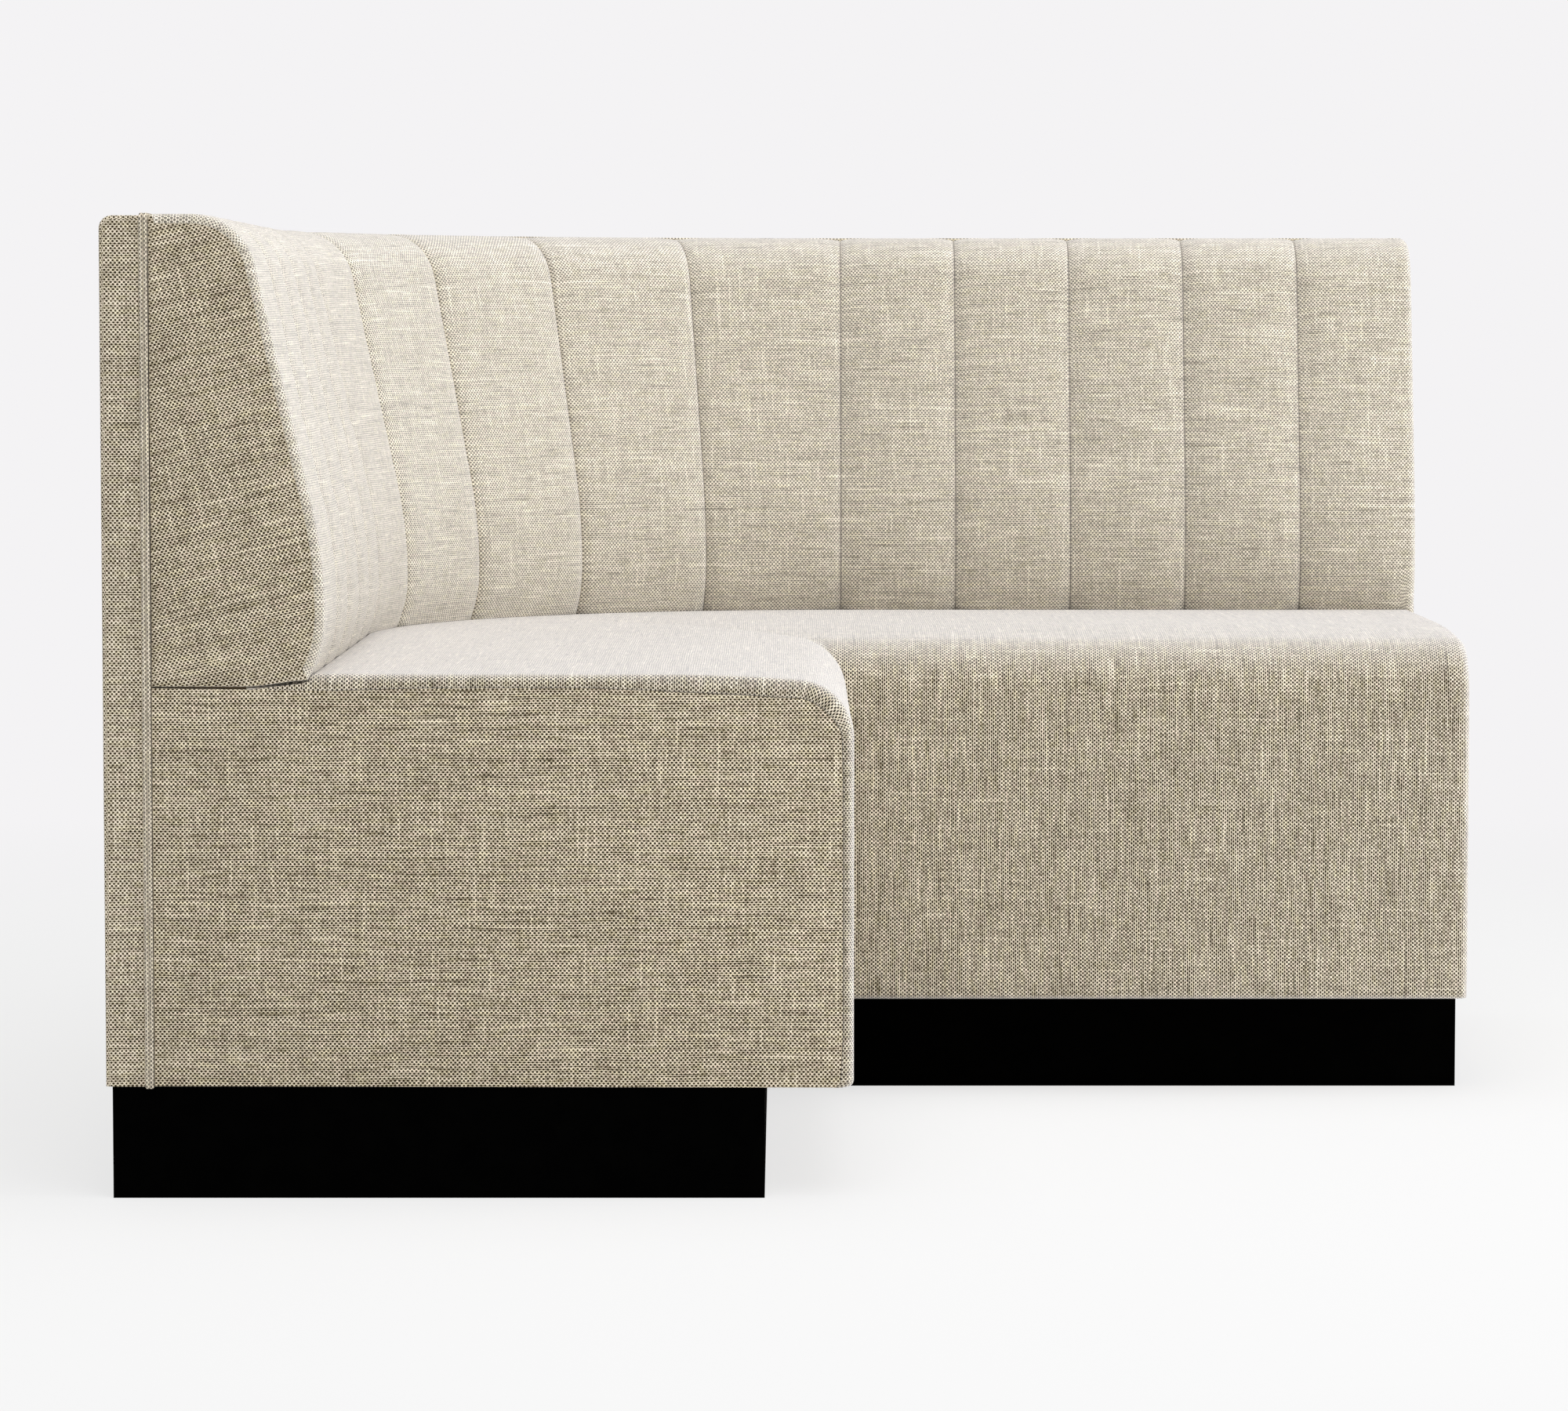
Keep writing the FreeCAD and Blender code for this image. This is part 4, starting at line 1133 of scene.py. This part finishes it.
def weltForm():
    ring = weltRing()
    run, top = bench["run"], bench["stripTop"]
    radius = welt["turnRadius"] - welt["tape"]
    stations = []
    for k, share in enumerate(welt["endShares"]):
        stations.append(("up", welt["low"] + welt["endStep"] * k, share))
    low = welt["low"] + welt["endStep"] * len(welt["endShares"])
    steps = welt["upSteps"]
    stations += [("up", low + (top - radius - low) * k / steps, 1.0) for k in range(steps)]
    steps = welt["turnSteps"]
    stations += [("over", math.pi / 2 * k / steps, 1.0) for k in range(steps + 1)]
    steps = welt["alongSteps"]
    stations += [("along", (run - radius) * (1 - k / steps), 1.0) for k in range(1, steps + 1)]
    stations += [("along", -math.pi / 4 * k / steps, 1.0) for k in range(1, steps + 1)]

    def spot(kind, value, side, height):
        o = welt["middle"] + side
        if kind == "up":
            return wingPoint(run + welt["tape"] + height, o, value)
        if kind == "over":
            t, z = onCircle((run - radius, top - radius), radius + welt["tape"] + height, value)
            return wingPoint(t, o, z)
        return alongBack(value, o, top + welt["tape"] + height)

    def place(column, row):
        kind, value, share = stations[column]
        side, height = ring[row]
        return spot(kind, value, side * (welt["endWidth"] + (1 - welt["endWidth"]) * share), height * share)

    middles = [spot(kind, value, 0.0, 0.0) for kind, value, share in stations]
    along, around = runLengths(middles), runLengths(ring)
    bm = gridForm(len(stations) - 1, len(ring) - 1, place, lambda column, row: (along[column], around[row]))
    addLeftHalf(bm)
    capEnds(bm)
    return bm


weltPiece = finishPiece(weltForm(), "doubleWelt", weltCloth, creaseAngle=welt["crease"])
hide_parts("double_welt")
print("double welt made")


# The stage: a pale floor, soft light all round and a key light from the upper right

stage = {
    "floorSize": 12,
    "floorColor": (0.92, 0.92, 0.925),
    "shadowShare": 0.22,
    "floorShown": 0.90,
    "near": 1.6,
    "far": 3.4,
    "lightStrength": 0.55,
    "backdrop": (0.905, 0.895, 0.907),
    "aim": (0, 0, 0.4),
    "lamps": {
        "topFront": {"power": 49.1, "size": 2.4, "spot": (0.3, -2.2, 3.4)},
        "top": {"power": 30.5, "size": 2.4, "spot": (0.0, 0.0, 3.4)},
        "right": {"power": 91.6, "size": 2.4, "spot": (3.8, -0.6, 1.6)},
    },
}


def floorMaterial():
    # pale and matt; to the camera mostly plain white, with part of its shading, and faded out far away
    sheet = NodeSheet("paleFloor")
    sheet.feed(sheet.shader.inputs["Base Color"], (*stage["floorColor"], 1))
    sheet.feed(sheet.shader.inputs["Roughness"], 1.0)
    sheet.feed(sheet.shader.inputs["Specular IOR Level"], 0.0)
    white = {"Color": (1, 1, 1, 1), "Strength": stage["floorShown"]}
    plain = sheet.add("ShaderNodeEmission", white).outputs[0]
    lit = {0: stage["shadowShare"], 1: plain, 2: sheet.shader.outputs[0]}
    keep = sheet.add("ShaderNodeMixShader", lit).outputs[0]
    spot = sheet.add("ShaderNodeTexCoord").outputs["Object"]
    reach = sheet.add("ShaderNodeVectorMath", {0: spot}, operation="LENGTH").outputs["Value"]
    fade = sheet.spread(reach, stage["near"], stage["far"])
    clear = sheet.add("ShaderNodeBsdfTransparent").outputs[0]
    shown = sheet.add("ShaderNodeMixShader", {0: fade, 1: keep, 2: clear}).outputs[0]
    seen = sheet.add("ShaderNodeLightPath").outputs["Is Camera Ray"]
    pick = sheet.add("ShaderNodeMixShader", {0: seen, 1: sheet.shader.outputs[0], 2: shown}).outputs[0]
    sheet.feed(sheet.tree.nodes["Material Output"].inputs["Surface"], pick)
    return sheet.material


def makeStage():
    bm = bmesh.new()
    bmesh.ops.create_grid(bm, x_segments=1, y_segments=1, size=stage["floorSize"])
    mesh = bpy.data.meshes.new("floor")
    bm.to_mesh(mesh)
    bm.free()
    floor = bpy.data.objects.new("floor", mesh)
    bpy.context.scene.collection.objects.link(floor)
    mesh.materials.append(floorMaterial())

    world = bpy.data.worlds.new("softLight")
    bpy.context.scene.world = world
    world.use_nodes = True
    tree = world.node_tree
    plain = tree.nodes["Background"]
    plain.inputs["Color"].default_value = (1, 1, 1, 1)
    plain.inputs["Strength"].default_value = stage["lightStrength"]
    seen = tree.nodes.new("ShaderNodeBackground")
    seen.inputs["Color"].default_value = (*stage["backdrop"], 1)
    seen.inputs["Strength"].default_value = 1.0
    path = tree.nodes.new("ShaderNodeLightPath")
    pick = tree.nodes.new("ShaderNodeMixShader")
    tree.links.new(path.outputs["Is Camera Ray"], pick.inputs[0])
    tree.links.new(plain.outputs[0], pick.inputs[1])
    tree.links.new(seen.outputs[0], pick.inputs[2])
    tree.links.new(pick.outputs[0], tree.nodes["World Output"].inputs[0])

    for name, lamp in stage["lamps"].items():
        light = bpy.data.lights.new(name, "AREA")
        light.energy = lamp["power"]
        light.size = lamp["size"]
        holder = bpy.data.objects.new(name, light)
        holder.location = lamp["spot"]
        facing = Vector(stage["aim"]) - holder.location
        holder.rotation_euler = facing.to_track_quat("-Z", "Y").to_euler()
        bpy.context.scene.collection.objects.link(holder)


view = {"spot": (-0.0463, -5.5478, 0.803), "pitch": math.radians(4.0216), "lens": 121.17, "sensor": 36}


def makeCamera():
    data = bpy.data.cameras.new("camera")
    data.sensor_width = view["sensor"]
    data.lens = view["lens"]
    camera = bpy.data.objects.new("camera", data)
    camera.location = view["spot"]
    camera.rotation_euler = (math.pi / 2 - view["pitch"], 0, 0)
    bpy.context.scene.collection.objects.link(camera)
    bpy.context.scene.camera = camera


makeStage()
makeCamera()
bpy.context.scene.view_settings.view_transform = "Standard"
print("stage and camera set")
